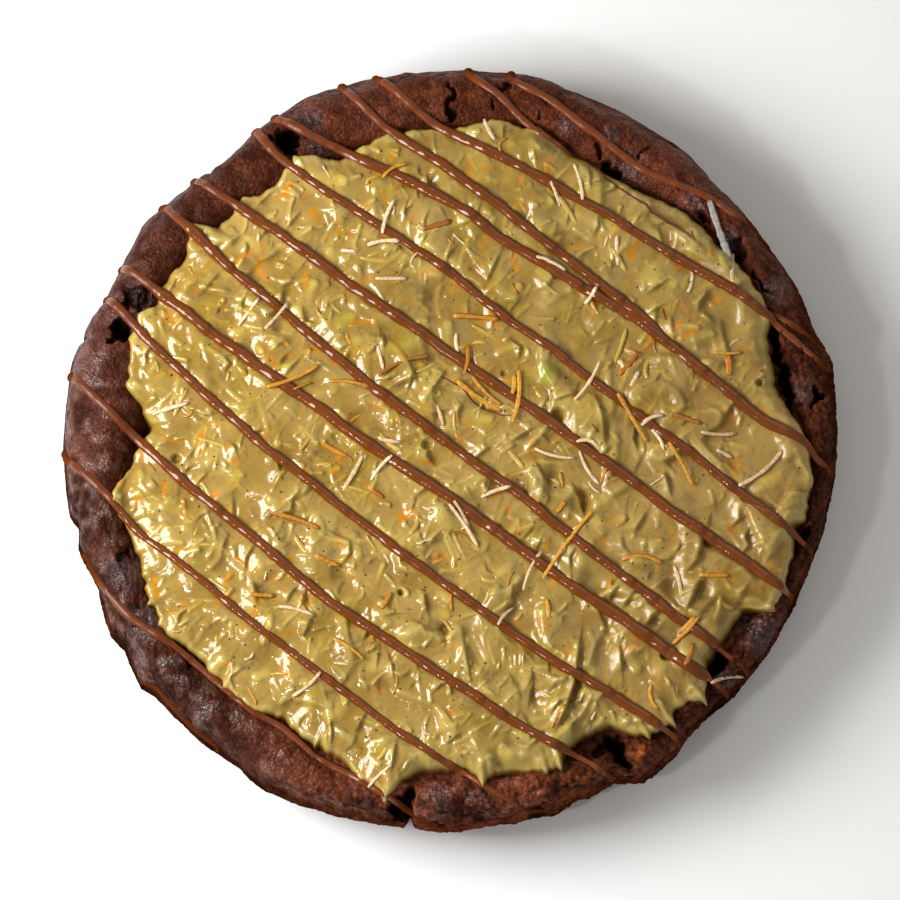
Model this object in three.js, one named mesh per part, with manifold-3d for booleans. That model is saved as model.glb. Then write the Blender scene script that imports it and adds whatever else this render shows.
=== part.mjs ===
// A round chocolate cookie with a puffed rim and a recessed top. The recess is filled with a
// pistachio cream full of shredded pastry, and milk-chocolate strands are drizzled across it all.
// Millimetres, +Z up. The origin is the middle of the flat base, the strands run from -X, +Y
// to +X, -Y.
import * as THREE from "three";
import { mergeVertices } from "three/addons/utils/BufferGeometryUtils.js";
import { ParametricGeometry } from "three/addons/geometries/ParametricGeometry.js";
import Module from "manifold-3d";

// Heights above the table.
const FLOOR = 12.6; // bottom of the recess
const CREST = 16.2; // mean top of the rim
const CREST_LEAN = 1.2; // the rim is this much higher at LEAN_ANGLE, and lower opposite
const LEAN_ANGLE = 165;
const BELLY = 8.6; // where the side is widest
const CREAM_TOP = 17.5; // the cream's level near its edge
const CREAM_DOME = 0.9; // how much it rises to the middle
const CREAM_LIP = 1.15; // thickness of the cream's edge over the biscuit
const LIP_ROUND = 3.6; // the edge rises to the cream's level over this distance

// Surfaces.
const BASE_INSET = 2.8; // the flat base stops this far inside the outline
const LUMP = 0.55; // relief of the baked rim
const LUMP_SIZE = 6.5;
const WAVE = 0.5; // relief of the cream
const WAVE_SIZE = 5.2;
const GAP = 0.35; // clearance between cream and biscuit

// Strands of drizzle.
const STRAND_WIDTH = 1.9;
const RIM_STRAND_WIDTH = 1.3; // a strand is thinner where it lies on the rim
const STRAND_HEIGHT = 1.15;
const STRAND_SINK = 0.3; // height of a strand's axis over what it lies on
const STRAND_STEP = 3.5;
const ROW_STEP = 3.3; // spacing of the cream's mesh along the strands
const DRIZZLE_ANGLE = 35; // clockwise from +X

// Shredded pastry lying loose.
const THREAD_WIDTH = 0.7;
const THREAD_HEIGHT = 0.6;

// Mesh of the biscuit.
const AROUND = 96;

// Outline of the biscuit at its widest: angle in degrees, radius.
const BISCUIT_EDGE = [
  [0, 54.1], [8, 54.5], [13, 55.0], [18, 53.6], [25, 53.8], [32, 53.3], [45, 52.3], [52, 53.5],
  [65, 53.7], [80, 54.3], [95, 53.6], [112, 53.6], [120, 52.4], [128, 51.5], [133, 52.3],
  [143, 53.3], [150, 52.2], [157, 52.3], [160, 53.7], [168, 54.3], [182, 54.1], [190, 54.0],
  [192, 53.1], [195, 53.8], [202, 53.0], [209, 54.2], [212, 53.5], [218, 54.7], [220, 53.7],
  [228, 54.0], [237, 53.8], [242, 54.6], [250, 54.3], [261, 54.4], [270, 54.2], [283, 53.8],
  [286, 54.2], [290, 52.5], [296, 52.5], [300, 54.2], [306, 53.6], [309, 52.5], [312, 52.2],
  [322, 53.2], [339, 52.9], [349, 53.7],
];

// Outline of the cream, with the points where it was pulled out over the rim.
const CREAM_EDGE = [
  [1, 49.6], [7, 46.9], [12, 46.3], [19, 46.9], [21, 48.3], [29, 48.0], [37, 46.6], [43, 46.5],
  [48, 45.6], [50, 44.7], [59, 43.9], [68, 43.9], [74, 46.1], [82, 46.1], [88, 44.7],
  [101, 44.4], [112, 42.9], [118, 46.0], [124, 43.8], [127, 43.6], [130, 45.3], [133, 44.3],
  [137, 44.4], [140, 48.0], [142, 46.1], [145, 45.0], [151, 45.7], [155, 45.3], [158, 46.9],
  [168, 45.9], [171, 45.3], [173, 43.7], [178, 42.1], [180, 43.4], [185, 45.0], [189, 47.7],
  [191, 48.0], [197, 46.3], [206, 46.7], [208, 47.6], [215, 47.9], [220, 46.5], [234, 47.0],
  [240, 45.6], [246, 46.9], [251, 47.1], [255, 49.0], [260, 51.1], [262, 48.6], [266, 46.7],
  [272, 46.2], [276, 47.9], [277, 47.2], [288, 48.8], [290, 46.4], [295, 45.7], [299, 46.2],
  [303, 49.5], [308, 50.6], [309, 49.1], [312, 49.6], [314, 51.2], [315, 50.0], [319, 47.6],
  [327, 46.9], [330, 47.5], [331, 50.5], [334, 51.3], [343, 50.1], [346, 49.1], [347, 50.8],
  [355, 50.7],
];

// Strands: distance along the drizzle's direction and distance across it. Those in ON_CREAM
// cross the cream, lowest first, and the others lie on the rim alone.
const ON_CREAM = [
  [[-33.2, -42.5], [-22.0, -46.1], [-13.9, -45.8], [-0.1, -47.2], [3.8, -46.3], [10.1, -47.2],
    [26.1, -45.4]],
  [[-44.1, -32.3], [-35.8, -33.6], [-28.4, -35.7], [-4.2, -37.6], [4.4, -37.5], [18.0, -38.1],
    [34.5, -36.9], [42.2, -35.3]],
  [[-49.1, -22.5], [-29.6, -26.0], [-15.1, -27.2], [-0.9, -28.6], [31.5, -27.6], [46.1, -25.6]],
  [[-50.8, -10.7], [-41.9, -12.8], [-25.9, -14.6], [-19.5, -15.8], [5.2, -17.6], [30.2, -17.7],
    [49.1, -16.1]],
  [[-52.0, -6.0], [-32.8, -7.0], [-24.6, -7.0], [-16.1, -6.3], [-7.1, -7.6], [12.0, -7.2],
    [22.0, -7.4], [30.2, -6.8], [52.2, -6.6]],
  [[-51.5, 4.4], [-40.2, 2.3], [-28.6, 1.6], [-12.4, -0.5], [7.9, -1.4], [10.9, -1.0],
    [30.7, -2.4], [53.5, -2.6]],
  [[-50.4, 9.9], [-16.5, 9.1], [-12.7, 9.5], [12.5, 9.7], [21.6, 9.9], [30.2, 9.2], [52.8, 9.4]],
  [[-46.4, 20.2], [-43.0, 19.1], [-32.4, 18.6], [-13.2, 18.8], [-5.4, 17.9], [27.7, 17.8],
    [36.9, 17.0], [50.8, 16.3]],
  [[-46.0, 23.6], [-32.8, 25.0], [-25.6, 26.4], [-15.6, 27.3], [-12.0, 26.7], [16.8, 28.3],
    [34.4, 27.1], [40.6, 28.2], [43.4, 26.9], [47.3, 27.0]],
  [[-41.0, 32.6], [-32.4, 31.0], [-21.8, 31.2], [-3.4, 29.6], [12.5, 29.4]],
  [[-38.4, 36.6], [-28.3, 35.4], [-15.5, 36.6], [-1.0, 38.5], [10.1, 38.6], [20.9, 39.9],
    [28.3, 39.8], [36.6, 38.6]],
  [[-28.0, 44.4], [-21.1, 44.1], [-18.2, 43.0], [-5.6, 43.2], [8.8, 42.1]],
];
const ON_RIM = [
  [[28.2, 41.8], [36.6, 40.5]],
  [[-22.8, 47.2], [-16.2, 47.8], [0.3, 46.8], [9.8, 49.4], [20.1, 49.0]],
  [[-16.3, -52.4], [-7.9, -54.0], [-1.9, -54.6]],
];

// Threads: middle x, y, direction in degrees, length.
const CREAM_THREADS = [
  [16.2, -15.9, 55, 10.4], [-6.4, 8.4, 38, 9.2], [-21.8, 8.6, 23, 7.9], [43.3, -4.2, 45, 7.8],
  [25.4, 3.0, 119, 7.6], [9.0, 5.6, 80, 7.4], [18.1, 7.8, 42, 7.4], [-21.7, -12.1, 165, 7.1],
  [2.1, 9.4, 83, 6.8], [31.9, -3.9, 120, 6.5], [2.1, -12.6, 124, 6.5], [14.9, -8.8, 79, 6.3],
  [11.4, -18.7, 61, 5.8], [3.6, 16.6, 0, 5.8], [19.7, -4.9, 118, 5.6], [14.8, -2.2, 170, 5.5],
  [5.4, 5.8, 131, 5.5], [-8.8, 31.0, 72, 5.3], [32.6, -27.1, 45, 5.3], [26.9, -17.1, 171, 5.2],
  [-23.9, 17.7, 57, 5.1], [-39.3, 5.0, 8, 4.9], [31.5, -20.2, 107, 4.7], [-14.6, -19.4, 72, 4.5],
  [24.9, 10.2, 55, 4.3], [36.7, -19.4, 0, 3.9],
];
const RIM_THREADS = [
  [38.5, 30.6, 105, 8.0], [38.9, -35.0, 21, 4.6],
];

// Holes in the rim: angle, radius, half length outwards, half width, depth.
const PITS = [
  [156, 48.6, 1.9, 2.2, 2.6],
  [161, 49.0, 1.5, 2.0, 2.0],
  [117, 48.8, 1.4, 1.5, 1.8],
  [90, 47.9, 2.6, 0.9, 1.8],
  [56, 49.8, 2.6, 0.8, 1.8],
  [19, 48.7, 1.4, 3.4, 3.0],
  [10, 48.6, 1.3, 3.4, 3.0],
  [321, 49.3, 1.9, 1.8, 2.6],
  [298, 49.5, 3.2, 1.5, 3.0],
  [262.5, 51.8, 2.0, 1.7, 3.0],
  [263.5, 54.6, 2.4, 0.7, 9.0],
];

const DEGREE = Math.PI / 180;
const wasm = await Module();
wasm.setup();

const between = (a, b, share) => a + (b - a) * share;
const clamp = THREE.MathUtils.clamp;
const degrees = (x, y) => (Math.atan2(y, x) / DEGREE + 360) % 360;

// Radius of a closed outline at an angle, straight from one listed point to the next.
function radiusAt(outline, angle) {
  const turned = ((angle % 360) + 360) % 360;
  const next = outline.findIndex(([a]) => a > turned);
  const [a1, r1] = next < 0 ? [outline[0][0] + 360, outline[0][1]] : outline[next];
  const [a0, r0] = next === 0
    ? [outline.at(-1)[0] - 360, outline.at(-1)[1]]
    : outline.at(next < 0 ? -1 : next - 1);
  return between(r0, r1, (turned - a0) / (a1 - a0));
}

// Smooth noise from -1 to 1, from a hash of the surrounding grid's corners.
function hash(i, j, k) {
  const s = Math.sin(i * 127.1 + j * 311.7 + k * 74.7) * 43758.5453;
  return s - Math.floor(s);
}
function noise(x, y, z) {
  const [i, j, k] = [x, y, z].map(Math.floor);
  const [u, v, w] = [x - i, y - j, z - k].map((t) => t * t * (3 - 2 * t));
  const row = (dj, dk) => between(hash(i, j + dj, k + dk), hash(i + 1, j + dj, k + dk), u);
  const sheet = (dk) => between(row(0, dk), row(1, dk), v);
  return 2 * between(sheet(0), sheet(1), w) - 1;
}
function relief(x, y, z, size) {
  const [u, v, w] = [x, y, z].map((c) => c / size);
  return 0.7 * noise(u, v, w) + 0.3 * noise(2 * u, 2 * v, 2 * w + 9);
}

// A closed solid from a three.js geometry: shared corners merged, collapsed triangles dropped.
function solid(geometry, matrix = new THREE.Matrix4()) {
  const bare = geometry.clone().applyMatrix4(matrix);
  bare.deleteAttribute("normal");
  bare.deleteAttribute("uv");
  const merged = mergeVertices(bare, 1e-4);
  const index = merged.index.array;
  const kept = [];
  for (let i = 0; i < index.length; i += 3) {
    const [a, b, c] = index.slice(i, i + 3);
    if (a !== b && b !== c && c !== a) kept.push(a, b, c);
  }
  return new wasm.Manifold(new wasm.Mesh({
    numProp: 3,
    vertProperties: new Float32Array(merged.attributes.position.array),
    triVerts: new Uint32Array(kept),
  }));
}

function geometryOf(body) {
  const mesh = body.getMesh();
  return new THREE.BufferGeometry()
    .setAttribute("position", new THREE.BufferAttribute(mesh.vertProperties, 3))
    .setIndex(new THREE.BufferAttribute(mesh.triVerts, 1));
}

const largest = (body) => body.decompose().sort((a, b) => b.volume() - a.volume())[0];

// The recess follows the cream's outline without its points.
function recessEdge(angle) {
  const turns = [-10, -5, 0, 5, 10];
  return turns.reduce((sum, turn) => sum + radiusAt(CREAM_EDGE, angle + turn), 0) / turns.length;
}

// Half section of the biscuit at an angle: radius, height and how much of the lumps it takes.
function section(angle) {
  const edge = radiusAt(BISCUIT_EDGE, angle);
  const inner = recessEdge(angle);
  const rim = edge - inner;
  const crest = CREST + CREST_LEAN * Math.cos((angle - LEAN_ANGLE) * DEGREE);
  return [
    [0, FLOOR, 0],
    [inner - 5.5, FLOOR, 0],
    [inner - 2.2, FLOOR + 0.9, 0.2],
    [inner - 0.4, crest - 1.6, 0.6],
    [inner + 0.16 * rim, crest - 0.4, 0.8],
    [inner + 0.38 * rim, crest, 1],
    [inner + 0.6 * rim, crest - 0.5, 1],
    [inner + 0.79 * rim, crest - 1.9, 1],
    [edge - 0.6, crest - 4.2, 0.7],
    [edge, BELLY, 0.4],
    [edge - 0.4, 5.2, 0.7],
    [edge - 1.3, 2.3, 0.7],
    [edge - BASE_INSET, 0, 0],
    [0, 0, 0],
  ];
}
const TOP_RINGS = 10; // the first rings of a section, down to the belly

// The lumps push the surface up on the crest and outwards on the side.
function lumped(angle, [radius, height, share]) {
  const [x, y] = [radius * Math.cos(angle * DEGREE), radius * Math.sin(angle * DEGREE)];
  const push = LUMP * share * relief(x, y, height, LUMP_SIZE);
  const upwards = clamp((height - BELLY) / (CREST - BELLY), 0, 1);
  return [radius + push * (1 - upwards), height + push * upwards];
}

// Height of the biscuit's top at a radius and angle.
function biscuitTop(radius, angle) {
  const rings = section(angle).slice(0, TOP_RINGS).map((ring) => lumped(angle, ring));
  const outer = rings.findIndex(([r]) => r > radius);
  if (outer < 1) return BELLY;
  const [[r0, z0], [r1, z1]] = [rings[outer - 1], rings[outer]];
  return between(z0, z1, (radius - r0) / (r1 - r0));
}

// Height of the cream, without its strands.
function creamLevel(x, y) {
  const [radius, angle] = [Math.hypot(x, y), degrees(x, y)];
  const edge = radiusAt(CREAM_EDGE, angle);
  const rise = clamp((edge - radius) / LIP_ROUND, 0, 1);
  const lip = biscuitTop(Math.min(radius, edge), angle) + CREAM_LIP;
  const middle = CREAM_TOP + CREAM_DOME * (1 - (radius / edge) ** 2) + WAVE * relief(x, y, 0, WAVE_SIZE);
  return Math.max(between(lip, middle, Math.sqrt(1 - (1 - rise) ** 2)), lip);
}

// Strands are laid out along and across the drizzle's direction.
const [ALONG_X, ALONG_Y] = [Math.cos(DRIZZLE_ANGLE * DEGREE), -Math.sin(DRIZZLE_ANGLE * DEGREE)];
const toPlan = (along, across) => [
  along * ALONG_X - across * ALONG_Y,
  along * ALONG_Y + across * ALONG_X,
];

function acrossAt(strand, along) {
  const next = clamp(strand.findIndex(([a]) => a > along), -1, strand.length - 1);
  const i = next < 0 ? strand.length - 1 : Math.max(next, 1);
  const [[a0, b0], [a1, b1]] = [strand[i - 1], strand[i]];
  return between(b0, b1, clamp((along - a0) / (a1 - a0), -1, 2));
}

// Flat-topped ridge that the strands make on the cream.
function ridge(along, across) {
  let height = 0;
  for (const strand of ON_CREAM) {
    const present = along > strand[0][0] - 1 && along < strand.at(-1)[0] + 1;
    const off = Math.abs(across - acrossAt(strand, along));
    const side = clamp((STRAND_WIDTH / 2 - off) / (STRAND_WIDTH * 0.24), 0, 1);
    if (present) height = Math.max(height, STRAND_HEIGHT * side);
  }
  return height;
}

// The cream's top is a mesh whose columns follow the strands: four to a strand, two between.
function creamColumns(along) {
  const half = STRAND_WIDTH / 2;
  const columns = [-60, -52];
  ON_CREAM.forEach((strand, i) => {
    const middle = acrossAt(strand, along);
    if (i > 0) {
      const start = columns.at(-1);
      columns.push(between(start, middle - half, 1 / 3), between(start, middle - half, 2 / 3));
    }
    columns.push(middle - half, middle - half * 0.5, middle + half * 0.5, middle + half);
  });
  columns.push(52, 60);
  const spacing = 0.15;
  for (let i = 1; i < columns.length; i++) {
    columns[i] = Math.max(columns[i], columns[i - 1] + spacing);
  }
  return columns;
}

function creamBlock() {
  const columnCount = creamColumns(0).length;
  const rowCount = Math.round(120 / ROW_STEP) + 1;
  const block = new THREE.BoxGeometry(1, 1, 1, rowCount - 1, columnCount - 1, 1);
  const place = block.attributes.position;
  for (let i = 0; i < place.count; i++) {
    const along = (place.getX(i) * (rowCount - 1)) * ROW_STEP;
    const column = Math.round((place.getY(i) + 0.5) * (columnCount - 1));
    const across = creamColumns(along)[column];
    const [x, y] = toPlan(along, across);
    const top = creamLevel(x, y) + ridge(along, across);
    place.setXYZ(i, x, y, place.getZ(i) > 0 ? top : 0);
  }
  return solid(block);
}

// Upright block over the cream's outline, grown by a margin.
function creamPrism(margin) {
  const corners = CREAM_EDGE.map(([angle, radius]) => new THREE.Vector2(
    (radius + margin) * Math.cos(angle * DEGREE),
    (radius + margin) * Math.sin(angle * DEGREE),
  ));
  return solid(new THREE.ExtrudeGeometry(new THREE.Shape(corners), { depth: 30, bevelEnabled: false }));
}

function bareBiscuit() {
  const rings = section(0).length - 1;
  const surface = (u, v, target) => {
    const angle = (360 - u * 360) % 360;
    const [radius, height] = lumped(angle, section(angle)[Math.round(v * rings)]);
    target.set(radius * Math.cos(angle * DEGREE), radius * Math.sin(angle * DEGREE), height);
  };
  return solid(new ParametricGeometry(surface, AROUND, rings));
}

function pit([angle, radius, outwards, sideways, depth]) {
  const [x, y] = [radius * Math.cos(angle * DEGREE), radius * Math.sin(angle * DEGREE)];
  const top = biscuitTop(Math.min(radius, 53), angle);
  const ball = new THREE.SphereGeometry(1, 7, 4);
  ball.rotateX(Math.PI / 2);
  ball.scale(outwards, sideways, depth);
  ball.rotateZ(angle * DEGREE);
  ball.translate(x, y, top);
  return solid(ball);
}

// What a strand lies on.
function support(x, y) {
  const [radius, angle] = [Math.hypot(x, y), degrees(x, y)];
  return radius < radiusAt(CREAM_EDGE, angle) ? creamLevel(x, y) : biscuitTop(radius, angle);
}

// The runs of a strand that lie on the rim, each from the cream outwards.
function rimRuns(strand) {
  const [first, last] = [strand[0][0], strand.at(-1)[0]];
  const count = Math.ceil((last - first) / 0.7);
  const spots = Array.from({ length: count + 1 }, (_, i) => {
    const along = between(first, last, i / count);
    return toPlan(along, acrossAt(strand, along));
  });
  const inside = ([x, y]) => Math.hypot(x, y) < radiusAt(CREAM_EDGE, degrees(x, y)) - 1;
  const start = spots.findIndex(inside);
  if (start < 0) return [spots];
  const end = spots.length - 1 - [...spots].reverse().findIndex(inside);
  const runs = [spots.slice(0, start + 1).reverse(), spots.slice(end)];
  return runs.filter((run) => run.length > 3);
}

function strandOnRim(run) {
  const every = Math.max(1, Math.round(STRAND_STEP / 0.7));
  const spots = run.filter((_, i) => i % every === 0 || i === run.length - 1);
  const heights = spots.map(([x, y]) => support(x, y) + STRAND_SINK);
  const path = spots.map(([x, y], i) => {
    const bridged = i > 0 && i < spots.length - 1 ? (heights[i - 1] + heights[i + 1]) / 2 : 0;
    return new THREE.Vector3(x, y, Math.max(heights[i], Math.min(bridged, heights[i] + 1.2)));
  });
  const [x, y] = run.at(-1);
  const reach = radiusAt(BISCUIT_EDGE, degrees(x, y)) + 0.1;
  if (Math.hypot(x, y) > reach - 2.4) {
    const outwards = reach / Math.hypot(x, y);
    path.push(new THREE.Vector3(x * outwards, y * outwards, BELLY + 0.6));
  }
  const sides = 5;
  const ring = Array.from({ length: sides }, (_, i) => new THREE.Vector2(
    RIM_STRAND_WIDTH / 2 * Math.cos((i + 0.5) * 2 * Math.PI / sides),
    RIM_STRAND_WIDTH / 2 * Math.sin((i + 0.5) * 2 * Math.PI / sides),
  ));
  return solid(new THREE.ExtrudeGeometry(new THREE.Shape(ring), {
    steps: path.length - 1,
    bevelEnabled: false,
    extrudePath: new THREE.CatmullRomCurve3(path),
  }));
}

// A straight thread lying on the surface, level with the higher of the spots under it.
function thread([x, y, direction, length]) {
  const [dx, dy] = [Math.cos(direction * DEGREE), Math.sin(direction * DEGREE)];
  const heights = [-0.4, 0, 0.4].map((share) => {
    const [px, py] = [x + dx * length * share, y + dy * length * share];
    const along = px * ALONG_X + py * ALONG_Y;
    const across = -px * ALONG_Y + py * ALONG_X;
    const strands = Math.hypot(px, py) < radiusAt(CREAM_EDGE, degrees(px, py)) ? ridge(along, across) : 0;
    return support(px, py) + strands;
  });
  const bar = new THREE.BoxGeometry(length, THREAD_WIDTH, THREAD_HEIGHT);
  const slope = Math.atan2(heights[2] - heights[0], length * 0.8);
  bar.rotateY(-slope);
  bar.rotateZ(direction * DEGREE);
  const level = Math.max(heights[1], (heights[0] + heights[2]) / 2);
  bar.translate(x, y, level + THREAD_HEIGHT * 0.15);
  return solid(bar);
}

const join = (first, others) => others.reduce((sum, other) => sum.add(other), first);

function cookie() {
  const bare = bareBiscuit();
  const pitted = PITS.reduce((sum, hole) => sum.subtract(pit(hole)), bare);
  const runs = [...ON_CREAM, ...ON_RIM].flatMap(rimRuns);
  const toppings = [...runs.map(strandOnRim), ...RIM_THREADS.map(thread)];
  const clear = creamPrism(GAP + 0.05);
  return largest(join(pitted, toppings.map((topping) => topping.subtract(clear))));
}

function pistachioCream() {
  const lifted = bareBiscuit().translate([0, 0, GAP]);
  const bare = largest(creamBlock().intersect(creamPrism(0)).subtract(lifted));
  return largest(join(bare, CREAM_THREADS.map(thread)));
}

function part(name, body, colour, roughness) {
  const mesh = new THREE.Mesh(
    geometryOf(body),
    new THREE.MeshStandardMaterial({ color: colour, roughness, metalness: 0 }),
  );
  mesh.name = name;
  return mesh;
}

const group = new THREE.Group();
group.add(part("cookie", cookie(), 0x4b281e, 0.75));
group.add(part("pistachio_cream", pistachioCream(), 0xaf9b50, 0.3));

export default group;
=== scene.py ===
"""A round chocolate cookie whose recessed top is filled with pistachio cream and shredded pastry,
with milk-chocolate strands drizzled across it and loose toasted threads on top.

Shapes are worked out in millimetres and made in metres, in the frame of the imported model.
"""

import math

import bpy
import mathutils
import numpy as np
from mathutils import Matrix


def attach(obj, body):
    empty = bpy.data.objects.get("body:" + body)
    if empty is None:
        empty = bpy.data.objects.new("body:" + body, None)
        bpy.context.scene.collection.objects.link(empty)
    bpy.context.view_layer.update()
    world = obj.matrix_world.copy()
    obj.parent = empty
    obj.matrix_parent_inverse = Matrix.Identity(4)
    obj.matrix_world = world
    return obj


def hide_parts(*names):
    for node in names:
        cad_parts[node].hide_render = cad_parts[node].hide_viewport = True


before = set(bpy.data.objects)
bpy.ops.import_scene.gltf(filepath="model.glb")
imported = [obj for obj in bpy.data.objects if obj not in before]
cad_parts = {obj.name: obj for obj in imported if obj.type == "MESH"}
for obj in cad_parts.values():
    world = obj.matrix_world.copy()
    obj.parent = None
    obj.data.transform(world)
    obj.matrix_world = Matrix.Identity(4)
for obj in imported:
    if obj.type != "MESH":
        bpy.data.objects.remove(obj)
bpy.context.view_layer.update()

MM = 0.001

# Heights above the table, as in the solids.
FLOOR = 12.6
CREST = 16.2
CREST_LEAN = 1.2
LEAN_ANGLE = 165
BELLY = 8.6
CREAM_TOP = 17.5
CREAM_DOME = 0.9
CREAM_LIP = 1.15
LIP_ROUND = 3.6
BASE_INSET = 2.8

# Relief that the solids have too.
LUMP = 0.55
LUMP_SIZE = 6.5
WAVE = 0.5
WAVE_SIZE = 5.2

DRIZZLE_ANGLE = 35  # clockwise from +X

# How many are strewn over the cream.
SMALL_SHREDS = 4200
NUT_PIECES = 620
SMALL_FOLDS = 210
ORANGE_STAINS = 300
GREEN_STAINS = 26
COATED_SHREDS = 230
SPECKS = 1100

# Colours as they look on the screen. Of a pair, the first is the darkest and the last the lightest.
CRUMB = (56, 25, 14), (94, 46, 27)
RUDDY_CRUMB = (54, 24, 15), (92, 48, 31)
TORN_TINT = (70, 38, 34)
AMBER_TINT = (124, 62, 18)
POOL = (141, 111, 43), (159, 130, 65)
SHRED = (174, 146, 48), (191, 164, 80)
ORANGE = (184, 118, 4)
GREEN = (128, 140, 20)
# The next two are painted shade for the cream's creases and painted light for its ridges.
PAINTED_CREASE_SHADE = (104, 70, 18)
PAINTED_RIDGE_LIGHT = (192, 175, 100)
DOT = (74, 50, 18)
COATED = (166, 136, 54), (190, 160, 76)
COATED_ORANGE = (182, 116, 22), (194, 138, 44)
PALE = (204, 172, 126), (230, 202, 160)
GOLD = (166, 102, 10), (204, 146, 42)
RUSSET = (126, 70, 8), (158, 98, 26)
NUT_SKIN = (44, 28, 12), (104, 70, 28)
CHOCOLATE = (96, 44, 4), (116, 58, 8)
THIN_CHOCOLATE = (98, 47, 20)

# Outline of the biscuit at its widest: angle in degrees, radius.
BISCUIT_EDGE = [
    (0, 54.1), (8, 54.5), (13, 55.0), (18, 53.6), (25, 53.8), (32, 53.3), (45, 53.0), (52, 53.7),
    (65, 53.7), (80, 54.3), (95, 53.6), (112, 54.0), (120, 52.8), (128, 51.5), (133, 52.3),
    (143, 53.3), (150, 52.9), (157, 52.8), (160, 53.7), (168, 54.3), (182, 54.1), (190, 54.0),
    (192, 53.1), (195, 53.8), (202, 53.0), (209, 54.2), (212, 53.5), (218, 54.7), (220, 53.7),
    (228, 54.0), (237, 53.8), (242, 54.6), (250, 54.1), (261, 53.8), (270, 53.7), (283, 53.3),
    (286, 53.6), (290, 52.5), (296, 52.5), (300, 54.2), (306, 53.6), (309, 52.5), (312, 52.2),
    (322, 52.7), (339, 52.9), (349, 53.7),
]

# Outline of the cream.
CREAM_EDGE = [
    (1, 49.6), (7, 46.9), (12, 46.3), (19, 46.9), (21, 48.3), (29, 48.0), (37, 46.6), (43, 46.5),
    (48, 45.6), (50, 44.7), (59, 43.9), (68, 43.9), (74, 46.1), (82, 46.1), (88, 44.7),
    (101, 44.4), (112, 42.9), (118, 46.0), (124, 43.8), (127, 43.6), (130, 45.3), (133, 44.3),
    (137, 44.4), (140, 48.0), (142, 46.1), (145, 45.0), (151, 45.7), (155, 45.3), (158, 46.9),
    (168, 45.9), (171, 45.3), (173, 43.7), (178, 42.1), (180, 43.4), (185, 45.0), (189, 47.7),
    (191, 48.0), (197, 46.3), (206, 46.7), (208, 47.6), (215, 47.9), (220, 46.5), (234, 47.0),
    (240, 45.6), (246, 46.9), (251, 47.1), (255, 49.0), (260, 51.1), (262, 48.6), (266, 46.7),
    (272, 46.2), (276, 47.9), (277, 47.2), (288, 48.8), (290, 46.4), (295, 45.7), (299, 46.2),
    (303, 49.5), (308, 50.6), (309, 49.1), (312, 49.6), (314, 51.2), (315, 50.0), (319, 47.6),
    (327, 46.9), (330, 47.5), (331, 50.5), (334, 51.3), (343, 50.1), (346, 49.1), (347, 50.8),
    (355, 50.7),
]

# Points of cream that stick out: angle, reach, half width in degrees.
CREAM_POINTS = [
    (260.0, 0.8, 0.8), (275.3, 1.1, 0.9), (286.0, 0.6, 0.6), (288.5, 1.0, 0.7), (303.4, 0.8, 0.6),
    (307.9, 1.2, 0.6), (314.0, 0.8, 0.6), (332.0, 0.6, 0.8), (118.5, 0.7, 0.8), (141.0, 0.6, 0.7),
    (190.5, 0.6, 0.7), (209.0, 0.6, 0.7), (228.0, 0.5, 0.8), (246.5, 0.5, 0.6),
]

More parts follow.
